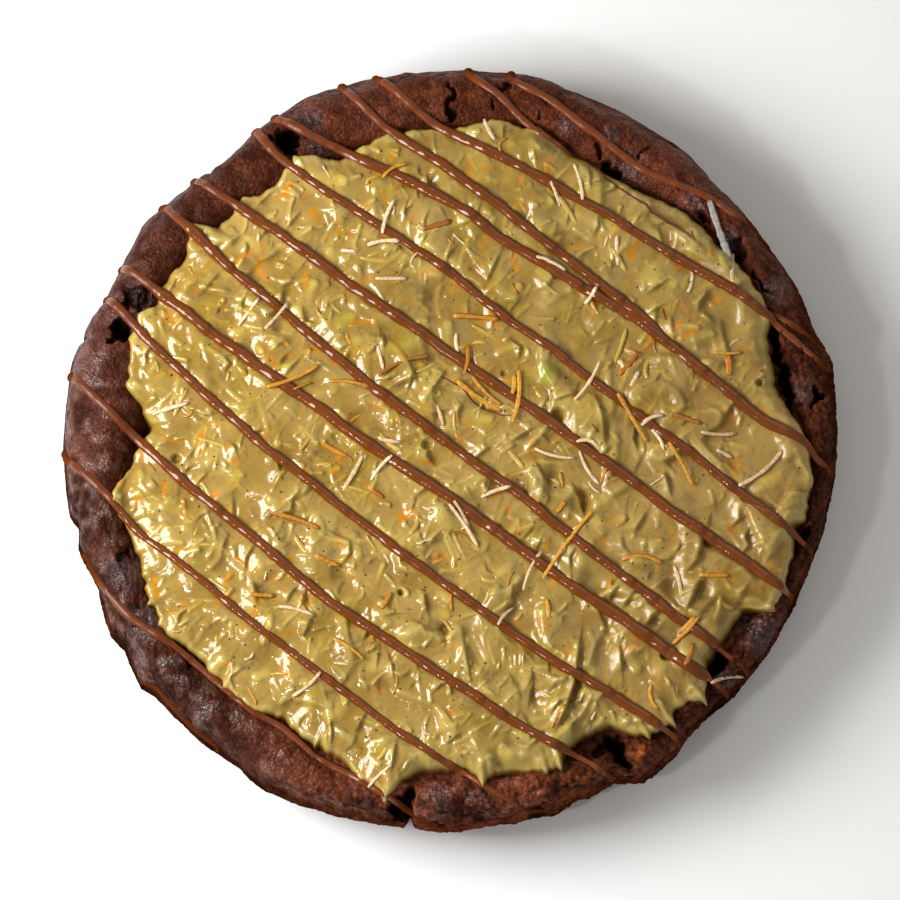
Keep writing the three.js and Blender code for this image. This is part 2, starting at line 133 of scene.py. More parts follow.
# Strands: width on the cream, then points as distance along the drizzle's direction and across it.
STRANDS = [
    (1.1, [(-33.2, -42.5), (-22.0, -46.1), (-13.9, -45.8), (-0.1, -47.2), (3.8, -46.3),
           (10.1, -47.2), (26.1, -45.4), (29.7, -45.9)]),
    (1.1, [(-44.1, -32.3), (-35.8, -33.6), (-28.4, -35.7), (-19.0, -36.1), (-6.0, -37.2),
           (4.4, -37.5), (18.0, -38.0), (34.5, -36.9), (42.2, -35.3)]),
    (1.4, [(-49.1, -22.5), (-29.6, -26.0), (-15.1, -27.2), (-0.9, -28.6), (31.5, -27.6),
           (46.1, -25.6)]),
    (1.35, [(-50.8, -10.7), (-41.9, -12.8), (-33.0, -14.2), (-20.0, -16.0), (-7.0, -16.5),
            (5.2, -17.3), (18.0, -17.4), (30.2, -17.5), (49.1, -16.1)]),
    (1.7, [(-52.0, -6.0), (-32.8, -6.9), (-24.6, -7.2), (-20.0, -6.9), (-7.1, -7.3), (5.0, -7.0),
           (12.0, -7.0), (22.0, -7.3), (35.0, -7.1), (44.0, -7.4), (52.2, -6.8)]),
    (1.45, [(-51.5, 4.4), (-40.2, 2.2), (-34.0, 1.7), (-22.0, 0.5), (-12.4, -0.4), (-7.0, -0.6),
            (7.9, -1.0), (10.9, -0.8), (21.0, -1.7), (30.7, -2.2), (40.0, -2.7), (53.5, -2.6)]),
    (1.55, [(-50.4, 9.9), (-35.0, 10.1), (-20.0, 9.7), (-12.7, 9.8), (-5.0, 9.8), (12.5, 9.7),
            (21.6, 9.7), (30.2, 9.1), (52.8, 9.4)]),
    (1.25, [(-46.4, 20.2), (-43.0, 19.1), (-32.4, 18.8), (-21.0, 19.2), (-13.2, 19.2),
            (-5.4, 18.4), (4.0, 18.4), (16.0, 17.7), (27.7, 17.5), (36.9, 16.9), (50.8, 16.3)]),
    (1.5, [(-46.0, 23.6), (-32.8, 25.3), (-25.6, 26.8), (-15.6, 27.8), (-12.0, 27.2), (2.0, 28.1),
           (12.0, 28.6), (18.0, 28.4), (34.4, 27.1), (40.6, 28.2), (43.4, 26.9), (47.3, 27.0)]),
    (1.45, [(-41.0, 32.6), (-32.4, 31.0), (-21.8, 31.2), (-13.0, 31.0), (-7.0, 30.5),
            (-1.0, 30.3), (6.0, 29.8), (12.5, 29.4), (16.8, 28.7)]),
    (1.4, [(-38.4, 36.6), (-28.3, 35.4), (-20.0, 36.3), (-13.0, 37.4), (-5.0, 38.0),
           (-1.0, 38.6), (6.0, 38.9), (12.0, 39.3), (20.9, 40.1), (28.3, 39.8), (36.6, 38.6)]),
    (1.1, [(-28.0, 44.4), (-21.1, 44.1), (-18.2, 43.0), (-9.0, 42.9)]),
    (1.0, [(26.4, 40.7), (30.5, 41.2), (36.6, 40.5)]),
    (1.1, [(-22.8, 47.2), (-16.2, 47.8), (0.3, 46.8), (9.8, 49.4), (20.1, 49.0)]),
    (0.9, [(-16.3, -52.4), (-7.9, -54.0), (-1.9, -54.6)]),
]

# Width of the strands on the rim: angle, width.
RIM_WIDTHS = [(0, 0.85), (60, 1.05), (110, 1.3), (180, 1.3), (230, 1.0), (270, 0.85), (320, 0.75)]

# Painted light and shade of the strands on the rim, as a share of their colour: angle, share.
PAINTED_RIM_LIGHT = [
    (0, 1.35), (45, 1.35), (90, 1.25), (135, 1.1), (180, 0.92), (225, 1.0), (270, 1.25),
    (315, 1.75), (340, 1.6),
]

# Threads of chocolate finer than the strands: half width, and points x, y.
FINE_THREADS = [
    (0.16, [(-1.7, 9.0), (1.4, 7.0), (4.1, 4.3), (7.1, 3.1), (9.2, 3.2)]),
    (0.25, [(16.6, 40.7), (18.4, 40.0), (22.7, 36.4), (28.4, 32.1), (34.7, 27.8)]),
]

# Loose threads of three colours: middle x, y, direction in degrees, length, bow, and for some
# a width and a colour of their own.
PALE_THREADS = [
    (39.5, 24.3, 88, 4.6, 0),
    (-28.1, 17.8, 53, 4.8, 0), (-24.2, 17.2, 50, 5.0, 0), (-8.6, 31.3, 71, 5.1, 0),
    (-9.3, 27.5, 7, 4.5, 0), (-14.2, 26.5, 172, 2.1, 0), (-8.2, 22.5, 0, 4.4, 0),
    (14.7, 34.6, 110, 3.7, 0), (5.5, 43.9, 115, 3.6, 0), (17.9, 36.3, 103, 5.4, -0.3),
    (14.1, 24.6, 154, 4.5, -0.2), (19.6, 20.1, 55, 2.9, 0), (33.5, 22.1, 79, 2.9, 0),
    (23.4, 26.6, 92, 4.1, 0), (-9.7, 11.1, 104, 3.5, 0), (1.0, 13.4, 96, 2.6, 0),
    (19.1, 8.0, 58, 6.6, -0.4), (-1.3, 3.0, 107, 2.8, 0), (-8.4, -0.3, 168, 3.3, 0),
    (14.6, -2.2, 167, 5.7, 0), (19.2, -1.3, 161, 3.4, -0.8), (19.4, -4.2, 120, 5.5, 0.4),
    (11.5, -18.8, 65, 6.2, 0), (1.9, -12.5, 124, 7.3, -0.2), (1.6, -11.0, 119, 4.3, -0.2),
    (6.4, -7.7, 19, 4.4, 0), (-9.5, -4.3, 49, 4.5, 0), (-13.4, -4.8, 61, 5.5, -0.1),
    (28.2, 2.4, 25, 3.4, 0.4), (28.9, -0.4, 119, 3.4, -0.3), (25.7, 8.3, 62, 2.4, 0),
    (43.2, -4.2, 40, 8.0, 0), (38.2, -2.2, 153, 2.5, 0), (37.4, 0.8, 0, 4.9, 0),
    (31.6, -20.2, 103, 4.5, -0.2), (7.8, -25.2, 50, 3.5, 0), (-21.3, -24.5, 165, 5.0, 0),
    (-19.9, -34.7, 40, 5.1, -0.3), (-39.0, 4.2, 16, 5.2, 0.1), (-9.7, -47.5, 43, 4.4, 0),
    (37.7, 29.9, 108, 9.0, 0.1, 0.95, (158, 150, 144)), (38.5, -33.6, 18, 4.8, 0.4),
]
GOLD_THREADS = [
    (-7.7, 37.9, 30, 4.0, 0.5), (3.6, 17.0, 175, 6.4, 0), (9.0, 21.0, 118, 1.8, 0),
    (-21.8, -11.7, 162, 7.9, -0.3), (-21.9, 8.6, 23, 8.0, -0.4),
    (2.2, 11.0, 83, 4.3, -0.3), (4.1, 5.9, 146, 7.4, 0.3), (5.2, 6.6, 135, 5.8, 0.3),
    (9.1, 5.7, 83, 7.5, -0.5), (8.8, 7.4, 84, 2.7, -0.2), (15.5, -5.9, 101, 2.2, 0),
    (15.4, -9.7, 54, 1.9, 0), (16.3, -15.2, 54, 11.7, 0), (-10.2, -7.8, 146, 2.5, 0),
    (-14.0, 7.4, 171, 5.6, -0.4), (-17.0, -17.4, 158, 3.7, 0), (25.4, 2.8, 121, 7.9, 0),
    (32.1, -3.8, 119, 6.9, 0), (38.7, 12.2, 0, 4.0, 0),
    (38.8, 10.3, 95, 2.9, -0.1, 0.95, (186, 112, 14)),
    (26.7, -17.5, 174, 5.6, -0.8), (36.7, -19.4, 0, 4.2, 0), (32.7, -27.1, 45, 5.3, 0),
    (32.8, -26.4, 43, 3.2, 0), (33.0, -30.5, 73, 3.3, -0.3), (28.4, -36.4, 105, 3.7, 0.6),
    (-8.8, -23.0, 58, 2.7, 0), (0.2, -23.3, 94, 2.3, 0), (13.6, -24.1, 96, 2.7, 0),
    (-14.0, -29.9, 145, 5.2, -0.3), (14.9, -39.2, 61, 3.7, 0), (-26.1, -22.2, 0, 3.5, 0),
]
RUSSET_THREADS = [
    (24.9, 10.5, 51, 4.2, 0), (-1.9, 30.1, 17, 4.2, 0), (-6.4, 9.9, 22, 7.8, 0.7),
    (32.8, 2.7, 161, 4.7, 0),
]

# Holes in the rim: angle, radius, half length outwards, half width, depth.
PITS = [
    (155.3, 48.0, 2.3, 2.4, 1.5), (161.5, 48.2, 1.8, 1.6, 4.2), (118, 48.2, 2.0, 1.9, 3.8),
    (90, 47.9, 2.6, 0.7, 1.8), (56.4, 49.3, 1.5, 0.35, 0.9), (63.6, 46.3, 1.4, 0.4, 1.2),
    (60.5, 44.8, 0.9, 1.7, 2.4), (41.5, 47.4, 0.6, 1.7, 1.6), (27.0, 48.9, 0.5, 2.6, 1.3),
    (82.4, 48.3, 0.9, 0.4, 0.9), (81.1, 50.9, 0.4, 0.8, 1.0),
    (17, 47.5, 0.9, 2.6, 4.0), (11, 47.2, 0.9, 2.8, 4.2), (6, 47.8, 0.8, 2.0, 3.5),
    (7.4, 51.1, 0.7, 1.3, 2.5), (320, 48.3, 1.7, 2.0, 4.4), (298, 49.5, 3.2, 1.2, 4.5),
    (295.5, 47.8, 1.2, 1.2, 2.5), (262.5, 51.6, 1.9, 1.5, 4.2), (220.7, 47.9, 1.0, 1.1, 1.4),
    (199.6, 48.3, 0.7, 1.0, 0.8), (345, 51.4, 1.0, 1.6, 2.2), (34.2, 48.5, 1.0, 1.3, 1.3),
    (75, 48.0, 0.6, 0.5, 0.8), (284, 53.6, 0.9, 2.2, 1.0),
]

# Notches in the outline: angle, depth, half width in degrees.
NOTCHES = [(263.9, 1.9, 0.42), (131.0, 0.6, 0.5), (163.5, 0.5, 0.6)]

# Places where the crumb is torn open and glints, and where it is amber: angle, radius, size.
TORN = [
    (155.3, 48.0, 2.3), (113.2, 49.6, 2.0), (114.0, 45.5, 1.8), (203.0, 48.6, 2.6),
    (212.0, 49.6, 2.4), (328.0, 50.3, 2.8), (319.0, 50.6, 1.6), (8.0, 50.3, 1.8),
    (45.0, 48.6, 2.0), (36.0, 48.2, 1.8), (25.0, 50.2, 2.0),
    (57.3, 46.2, 2.4), (70.1, 47.9, 1.3), (62.6, 48.7, 1.4), (268.0, 49.8, 2.0),
]
AMBER = [(8.3, 52.5, 1.8), (295.5, 48.4, 1.3), (290.0, 51.5, 2.4), (301.0, 50.5, 1.6)]

# How light the crumb is round the rim, partly its baked tone and partly painted light and shade: angle,
# share.
BAKED_TONE_AND_PAINTED_LIGHT = [
    (0, 0.83), (50, 1.45), (90, 1.42), (135, 0.76), (180, 0.84), (225, 0.45), (265, 1.8),
    (282, 1.75), (297, 1.02), (320, 0.8),
]

# Green nut pieces that show through: x, y, size, strength of the colour.
GREEN_BITS = [
    (13.4, 8.9, 1.3, 0.9), (-14.6, 16.5, 1.2, 0.35), (-6.4, 12.6, 1.4, 0.35), (-16.0, -4.5, 0.7, 0.2),
    (-29.6, -5.4, 0.7, 0.3), (36.0, 14.5, 0.8, 0.25),
]

# Orange shreds and stains that show through: x, y, direction, length, half width.
ORANGE_BITS = [
    (-22.8, 35.2, 60, 2.6, 0.7), (-28.8, 25.6, 40, 3.6, 0.5), (-26.6, 24.6, 70, 2.4, 0.4),
    (-34.6, -0.6, 85, 3.0, 0.5), (-39.7, -7.0, 80, 1.8, 0.4), (-28.3, -17.8, 140, 3.6, 0.5),
    (-30.8, -20.0, 60, 2.2, 0.5), (-26.8, -23.2, 80, 2.6, 0.6), (-40.8, -20.9, 100, 3.0, 0.45),
    (33.6, 14.8, 30, 2.4, 0.5), (25.1, 10.4, 55, 4.4, 0.5), (25.8, 26.9, 60, 2.4, 0.45),
    (36.4, 26.5, 100, 1.6, 0.4), (-6.0, -10.9, 20, 2.2, 0.9), (-10.8, -7.5, 145, 2.4, 0.4),
    (-15.8, -4.0, 70, 2.8, 0.5), (-12.5, 16.2, 0, 3.4, 0.4), (-7.0, 12.4, 130, 3.0, 0.5),
    (2.0, 7.5, 150, 3.0, 0.6), (-3.0, -3.6, 10, 2.2, 0.4), (6.6, -7.8, 40, 2.0, 0.5),
    (-20.2, 22.8, 85, 2.0, 0.4), (-8.8, 29.0, 30, 2.4, 0.4),
]

# Bubbles that burst in the cream, and hollows: x, y, size, depth.
DENTS = [
    (15.0, 3.2, 0.9, 1.1), (-3.2, -1.0, 0.7, 0.8), (-38.1, -2.8, 0.6, 0.8), (7.5, 9.0, 0.4, 0.5),
    (-6.8, -21.8, 0.4, 0.9), (18.2, -8.8, 1.6, 0.8), (30.0, -30.5, 0.7, 0.8), (43.1, 8.0, 0.5, 0.7),
    (6.0, -6.6, 0.9, 0.5), (-0.6, -27.0, 0.9, 0.5), (35.3, -21.5, 1.3, 0.5), (27.0, 9.4, 1.5, 0.3),
]

# Folds: height, and points along the edge. The cream is high on the left of the way they run.
FOLDS = [
    (0.60, [(21.7, -0.8), (21.4, 2.8), (20.6, 5.5)]),
    (0.55, [(18.9, -12.0), (18.2, -8.8), (16.9, -6.3)]),
    (0.45, [(30.9, -8.4), (30.0, -4.6)]),
    (0.60, [(33.0, -19.0), (34.4, -17.3), (36.3, -10.8)]),
    (0.65, [(33.0, -24.2), (35.2, -19.4)]),
    (1.05, [(14.7, -41.0), (16.1, -38.3), (17.4, -34.5), (18.2, -28.0)]),
    (0.50, [(2.9, -33.8), (2.0, -28.4)]),
    (0.30, [(9.7, -14.6), (11.6, -12.8), (14.0, -12.3)]),
    (0.45, [(13.9, -7.2), (12.9, -5.2), (11.7, -3.0)]),
    (0.40, [(10.4, -8.4), (8.2, -5.6)]),
    (0.40, [(28.4, 13.5), (28.9, 18.5)]),
    (0.30, [(35.4, 27.0), (31.5, 30.2), (27.0, 33.5)]),
    (0.50, [(39.7, -23.6), (41.5, -20.6)]),
    (0.45, [(27.2, -26.4), (29.3, -24.2)]),
    (0.40, [(24.0, -24.0), (26.0, -21.2)]),
    (0.40, [(21.9, -21.6), (23.6, -19.2)]),
    (0.40, [(24.0, -33.0), (23.6, -29.0)]),
    (0.40, [(5.2, 22.0), (7.0, 26.0)]),
    (0.35, [(-2.6, 6.2), (-0.4, 9.6)]),
    (0.40, [(11.0, -37.5), (11.6, -33.8)]),
    (0.35, [(38.2, 2.6), (40.4, 6.4)]),
    (0.35, [(27.6, 20.4), (30.8, 22.6)]),
    (0.40, [(25.6, -13.6), (27.4, -10.4)]),
    (0.30, [(-27.0, 33.0), (-24.5, 35.5)]),
    (0.28, [(-23.0, 29.5), (-20.5, 32.5)]),
    (0.28, [(-31.5, 26.5), (-29.0, 29.0)]),
    (0.30, [(-26.5, 25.0), (-23.5, 26.5)]),
    (0.28, [(-34.5, 20.5), (-32.0, 23.5)]),
    (0.25, [(-29.5, 21.5), (-27.0, 24.5)]),
    (0.28, [(-21.0, 24.0), (-18.5, 27.0)]),
    (0.25, [(-24.0, 21.0), (-21.5, 22.5)]),
    (0.45, [(0.4, 6.6), (4.2, 5.2), (8.4, 3.4)]),
    (0.40, [(3.0, -3.4), (5.8, -1.2)]),
    (0.40, [(8.6, -0.6), (11.8, 1.4)]),
    (0.40, [(-7.6, 7.2), (-4.4, 8.6)]),
    (0.35, [(-4.6, -8.2), (-2.0, -6.4)]),
    (0.40, [(14.2, 5.0), (17.6, 6.2)]),
]

# Shreds that lie side by side: middle x, y, direction, length, count.
BUNDLES = [
    (4.7, -30.7, 108, 6.0, 5), (9.7, -31.8, 88, 3.5, 3), (8.1, -32.1, 100, 4.0, 3),
    (-8.9, -32.6, 40, 3.0, 4), (0.6, -15.9, 115, 4.5, 4), (23.2, -28.8, 65, 3.6, 4),
    (10.2, -3.4, 10, 4.0, 5), (11.8, -0.8, 25, 4.0, 2), (25.1, -9.6, 70, 4.0, 3),
    (-42.5, -8.4, 115, 4.5, 5), (27.3, 23.2, 95, 3.5, 5), (16.9, 17.3, 60, 2.5, 4),
    (-37.8, 7.0, 70, 3.0, 3), (-33.5, -0.4, 80, 4.6, 5), (-19.2, -23.6, 125, 4.0, 4),
    (-29.0, -26.0, 120, 5.0, 4), (-13.0, -4.0, 62, 5.0, 3), (-22.0, 27.0, 30, 3.6, 3),
    (2.0, 37.0, 15, 4.0, 3), (-28.0, -14.0, 25, 3.6, 3), (36.0, 21.0, 20, 3.6, 3),
    (-25.5, 31.0, 20, 3.2, 3), (-30.5, 24.0, 60, 3.0, 3), (-22.0, 35.5, 140, 2.8, 3),
    (9.0, 3.4, 150, 3.0, 3), (13.6, 0.8, 40, 2.8, 2), (5.6, 0.2, 20, 2.6, 2),
    (0.6, 1.6, 160, 3.4, 3), (-2.4, 6.4, 15, 3.0, 3), (3.4, -6.0, 25, 3.0, 3), (-5.6, -4.4, 85, 2.8, 2),
    (16.0, -2.4, 120, 3.2, 3), (19.4, 3.0, 60, 3.0, 3), (-8.0, 3.0, 100, 3.0, 3),
    (-27.0, 28.5, 95, 2.6, 2), (-19.5, 30.0, 165, 3.0, 2), (-35.5, 23.5, 110, 2.6, 2),
]


# ---------------------------------------------------------------- numbers and noise

def smooth_step(low, high, value):
    """0 below low and 1 above high, with a smooth slope between."""
    t = np.clip((value - low) / (high - low), 0, 1)
    return t * t * (3 - 2 * t)


def hump(value, middle, width):
    """1 at the middle, and less and less on both sides of it."""
    return np.exp(-(((value - middle) / width) ** 2))


def compass(angle):
    """Cosine and sine of an angle in degrees."""
    return np.cos(np.radians(angle)), np.sin(np.radians(angle))


def bearing(x, y):
    """Angle in degrees of a place of the plan."""
    return np.degrees(np.arctan2(y, x)) % 360


def hashed(i, j, k):
    """A number from 0 to 1 for each cell, which looks random."""
    s = np.sin(i * 127.1 + j * 311.7 + k * 74.7) * 43758.5453
    return s - np.floor(s)


def noise(x, y, z):
    """Smooth noise from -1 to 1, the same as in the solids."""
    cell = [np.floor(c) for c in (x, y, z)]
    u, v, w = [(c - f) ** 2 * (3 - 2 * (c - f)) for c, f in zip((x, y, z), cell)]
    i, j, k = cell
    total = 0
    for dk, wk in ((0, 1 - w), (1, w)):
        for dj, wj in ((0, 1 - v), (1, v)):
            for di, wi in ((0, 1 - u), (1, u)):
                total = total + hashed(i + di, j + dj, k + dk) * wi * wj * wk
    return 2 * total - 1


def bumps(place, size, layer=0):
    """Noise with bumps about as wide as size. Each layer has its own."""
    x, y, z = place
    return noise(x / size, y / size, z / size + layer)


def relief(x, y, z, size):
    """Large and small bumps, the same as in the solids."""
    u, v, w = x / size, y / size, z / size
    return 0.7 * noise(u, v, w) + 0.3 * noise(2 * u, 2 * v, 2 * w + 9)


def outline(points, angle):
    """What the rows of angle and value give at an angle."""
    angles, values = np.array(points, float).T
    return np.interp(angle, angles, values, period=360)


TURN_STEP = 0.1
TURN = np.arange(0, 360, TURN_STEP)


def smooth_turn(values, width):
    """Blurs a list that goes round once, with a value for each angle of TURN, over width degrees."""
    steps = np.fft.rfftfreq(len(values), 1.0)
    gain = np.exp(-2 * (math.pi * width / TURN_STEP * steps) ** 2)
    return np.fft.irfft(np.fft.rfft(values) * gain, len(values))


def ragged_cream_edge():
    """The cream's outline with small steps and the ends of shreds that stick out of it."""
    draw = np.random.default_rng(41)
    edge = smooth_turn(outline(CREAM_EDGE, TURN), 0.5)
    edge += 0.9 * smooth_turn(draw.standard_normal(TURN.size), 1.0)
    edge += 0.3 * smooth_turn(draw.standard_normal(TURN.size), 0.4)
    blunt = zip(draw.uniform(60, 300, 16), draw.uniform(0.1, 0.4, 16), draw.uniform(0.5, 1.3, 16))
    for ends, power in ((blunt, 0.5), (CREAM_POINTS, 1)):
        for place, reach, width in ends:
            away = np.abs((TURN - place + 180) % 360 - 180)
            edge += reach * np.clip(1 - away / width, 0, 1) ** power
    return edge


def turn_at(values, angle):
    """Value at an angle of a list that goes round once."""
    return np.interp(angle, TURN, values, period=360)


CREAM_RAGGED = ragged_cream_edge()
CREAM_SMOOTH = smooth_turn(outline(CREAM_EDGE, TURN), 4.0)


# ---------------------------------------------------------------- plan grid

CELL = 0.08
HALF = 58.0
AXIS = np.arange(-HALF, HALF + CELL / 2, CELL)
GRID_X, GRID_Y = np.meshgrid(AXIS, AXIS)
GRID_R = np.hypot(GRID_X, GRID_Y)
GRID_ANGLE = bearing(GRID_X, GRID_Y)


def blur(field, size):
    """Blurs a field of the plan over a distance."""
    up = np.fft.fftfreq(field.shape[0], CELL)[:, None]
    side = np.fft.rfftfreq(field.shape[1], CELL)[None, :]
    gain = np.exp(-2 * (math.pi * size) ** 2 * (up**2 + side**2))
    return np.fft.irfft2(np.fft.rfft2(field) * gain, s=field.shape)


def soft_noise(seed, size):
    """Random hills and hollows over the plan, with a spread of 1."""
    field = blur(np.random.default_rng(seed).standard_normal(GRID_X.shape), size)
    return field / field.std()


def interpolated(table, u, v):
    """Values of a table between its rows u and columns v."""
    i, j = u.astype(int), v.astype(int)
    fu, fv = u - i, v - j
    low = table[i, j] * (1 - fv) + table[i, j + 1] * fv
    high = table[i + 1, j] * (1 - fv) + table[i + 1, j + 1] * fv
    return low * (1 - fu) + high * fu


def at(field, x, y):
    """The field's value at places of the plan."""
    u, v = (np.clip((np.asarray(c) + HALF) / CELL, 0, AXIS.size - 1.001) for c in (y, x))
    return interpolated(field, u, v)


def window(x, y, reach):
    """The part of the grid round a place."""
    i, j = int((x + HALF) / CELL), int((y + HALF) / CELL)
    n = int(reach / CELL) + 2
    return slice(max(j - n, 0), j + n), slice(max(i - n, 0), i + n)


def squared_distance(x, y, part=...):
    """Squared distance of each cell, or of a part of the cells, from a place."""
    return (GRID_X[part] - x) ** 2 + (GRID_Y[part] - y) ** 2


def scattered(draw, reach):
    """A place of the plan, evenly likely all over a disc."""
    radius = reach * math.sqrt(draw.uniform())
    turn = draw.uniform(0, 2 * math.pi)
    return radius * math.cos(turn), radius * math.sin(turn)


def bowed_line(x, y, turn, length, bow, t):
    """Points of a slightly curved line round its middle, where t runs from -1 to 1."""
    along, aside = t * length / 2, bow * (1 - t**2)
    c, s = math.cos(turn), math.sin(turn)
    return x + along * c - aside * s, y + along * s + aside * c


# ---------------------------------------------------------------- meshes and colours

def add_object(name, data):
    """Puts a mesh, light or camera in the scene."""
    thing = bpy.data.objects.new(name, data)
    bpy.context.scene.collection.objects.link(thing)
    return thing


def make_piece(name, vertices, faces, slot, stands_for, tint):
    """A mesh from corners in millimetres and lists of faces, riding on the only body."""
    mesh = bpy.data.meshes.new(name)
    vertices = np.asarray(vertices, np.float32) * MM
    faces = [np.asarray(f, np.int32) for f in faces if len(f)]
    corners = np.concatenate([f.ravel() for f in faces])
    counts = np.concatenate([np.full(len(f), f.shape[1], np.int32) for f in faces])
    starts = np.concatenate([[0], np.cumsum(counts)[:-1]]).astype(np.int32)
    mesh.vertices.add(len(vertices))
    mesh.vertices.foreach_set("co", vertices.ravel())
    mesh.loops.add(len(corners))
    mesh.loops.foreach_set("vertex_index", corners)
    mesh.polygons.add(len(counts))
    mesh.polygons.foreach_set("loop_start", starts)
    mesh.polygons.foreach_set("loop_total", counts)
    mesh.polygons.foreach_set("use_smooth", np.ones(len(counts), bool))
    mesh.update(calc_edges=True)
    mesh.validate()
    layer = mesh.color_attributes.new("tint", "FLOAT_COLOR", "POINT")
    colours = np.ones((len(vertices), 4), np.float32)
    colours[:, : tint.shape[1]] = tint
    layer.data.foreach_set("color", colours.ravel())
    piece = add_object(name, mesh)
    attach(piece, "root")
    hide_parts(*stands_for)
    return piece


def linear(colour):
    """A colour given as it looks on the screen, 0 to 255, as light from 0 to 1."""
    c = np.array(colour, float) / 255
    return np.where(c <= 0.04045, c / 12.92, ((c + 0.055) / 1.055) ** 2.4)


def mixed(a, b, share):
    """Colours from a to b, one for each of the shares."""
    share = np.asarray(share)[..., None]
    return a * (1 - share) + b * share


def between(pair, share):
    """Colours from the first to the last of a pair, one for each of the shares."""
    return mixed(linear(pair[0]), linear(pair[1]), share)


def sweep(path, half_width, half_height, sides, up=(0.0, 0.0, 1.0)):
    """A closed tube of elliptical section along a path, with up as its height's direction."""
    path = np.asarray(path, float)
    forward = np.gradient(path, axis=0)
    forward /= np.linalg.norm(forward, axis=1, keepdims=True)
    across = np.cross(up, forward)
    across /= np.linalg.norm(across, axis=1, keepdims=True)
    rise = np.cross(forward, across)
    turn = np.arange(sides) * 2 * math.pi / sides
    rings = (
        path[:, None]
        + across[:, None] * (np.asarray(half_width)[:, None] * np.cos(turn))[..., None]
        + rise[:, None] * (np.asarray(half_height)[:, None] * np.sin(turn))[..., None]
    )
    n = len(path)
    vertices = np.concatenate([rings.reshape(-1, 3), path[:1], path[-1:]])
    k, s = np.meshgrid(np.arange(n - 1), np.arange(sides), indexing="ij")
    a, b = k * sides + s, k * sides + (s + 1) % sides
    quads = np.stack([a, a + sides, b + sides, b], -1).reshape(-1, 4)
    s = np.arange(sides)
    after, end = (s + 1) % sides, (n - 1) * sides
    start_cap = np.stack([np.full(sides, n * sides), s, after], 1)
    end_cap = np.stack([np.full(sides, n * sides + 1), end + after, end + s], 1)
    return vertices, quads, np.concatenate([start_cap, end_cap])


class Heap:
    """Collects many small meshes into one."""

    def __init__(self):
        self.vertices, self.quads, self.triangles, self.tints = [], [], [], []
        self.count = 0

    def add(self, vertices, quads, triangles, tint):
        """Adds a mesh, with one tint or a tint for each of its corners."""
        self.vertices.append(vertices)
        self.quads.append(quads + self.count)
        self.triangles.append(triangles + self.count)
        self.tints.append(np.broadcast_to(tint, (len(vertices), 3)))
        self.count += len(vertices)

    def piece(self, name, slot, stands_for):
        """Makes one piece of all that was added."""
        vertices, quads, triangles, tints = (
            np.concatenate(rows) for rows in (self.vertices, self.quads, self.triangles, self.tints)
        )
        return make_piece(name, vertices, [quads, triangles], slot, stands_for, tints)


# ---------------------------------------------------------------- the biscuit

AROUND = 1250
RING_STEPS = [3, 4, 8, 8, 8, 8, 9, 9, 6, 5, 5]
TOP_RINGS = sum(RING_STEPS[:8])  # rings above the widest place
SIDE_RINGS = sum(RING_STEPS[:9])  # rings above the place where the side turns in
GRAIN_SIZE = 0.85
FINE_GRAIN_SIZE = 0.45

# Parts of the rim: angle in the middle, and how far it reaches to each side.
COARSE_SIDE = 315
COARSE_PATCH = (208, 26)
GLINTS_LEFT = (188, 33)
GLINTS_LOWER_LEFT = (222, 22)
GLINTS_BOTTOM = (272, 17)


def sections(angle):
    """Half section at each angle: rows of radius, height and share of the lumps."""
    edge = outline(BISCUIT_EDGE, angle)
    inner = np.mean([outline(CREAM_EDGE, angle + turn) for turn in (-10, -5, 0, 5, 10)], axis=0)
    rim = edge - inner
    crest = CREST + CREST_LEAN * compass(angle - LEAN_ANGLE)[0]
    one = np.ones_like(edge)
    rings = [  # from the floor under the cream over the crest and down the side to the foot
        (inner - 5.5, FLOOR * one, 0),
        (inner - 2.2, (FLOOR + 0.9) * one, 0.2),
        (inner - 0.4, crest - 1.6, 0.6),
        (inner + 0.16 * rim, crest - 0.4, 0.8),
        (inner + 0.38 * rim, crest, 1),
        (inner + 0.6 * rim, crest - 0.5, 1),
        (inner + 0.79 * rim, crest - 1.9, 1),
        (edge - 0.6, crest - 4.2, 0.7),
        (edge, BELLY * one, 0.4),
        (edge - 0.4, 5.2 * one, 0.7),
        (edge - 1.3, 2.3 * one, 0.7),
        (edge - BASE_INSET, 0 * one, 0),
    ]
    return np.stack([np.stack([r, z, share * one], -1) for r, z, share in rings], 1)


def fine_sections(angle):
    """A smooth curve through each section's points."""
    known = sections(angle)
    padded = np.concatenate([
        2 * known[:, :1] - known[:, 1:2], known, 2 * known[:, -1:] - known[:, -2:-1],
    ], axis=1)
    rows = []
    for i, steps in enumerate(RING_STEPS):
        p0, p1, p2, p3 = (padded[:, i + n] for n in range(4))
        for t in np.arange(steps) / steps:
            rows.append(0.5 * (
                2 * p1 + (p2 - p0) * t + (2 * p0 - 5 * p1 + 4 * p2 - p3) * t**2
                + (3 * p1 - p0 - 3 * p2 + p3) * t**3
            ))
    rows.append(known[:, -1])
    return np.stack(rows, 1)


def nearest_grain(x, y, z, size):
    """Distance to the nearest of scattered points, in grain sizes."""
    place = np.stack([x, y, z], -1) / size
    cell = np.floor(place)
    nearest = np.full(x.shape, 9.0)
    for step in np.ndindex(3, 3, 3):
        i, j, k = np.moveaxis(cell + np.array(step) - 1, -1, 0)
        point = np.stack([hashed(i, j, k), hashed(i + 51, j, k), hashed(i, j + 83, k)], -1)
        gap = np.linalg.norm(np.stack([i, j, k], -1) + 0.15 + 0.7 * point - place, axis=-1)
        nearest = np.minimum(nearest, gap)
    return nearest


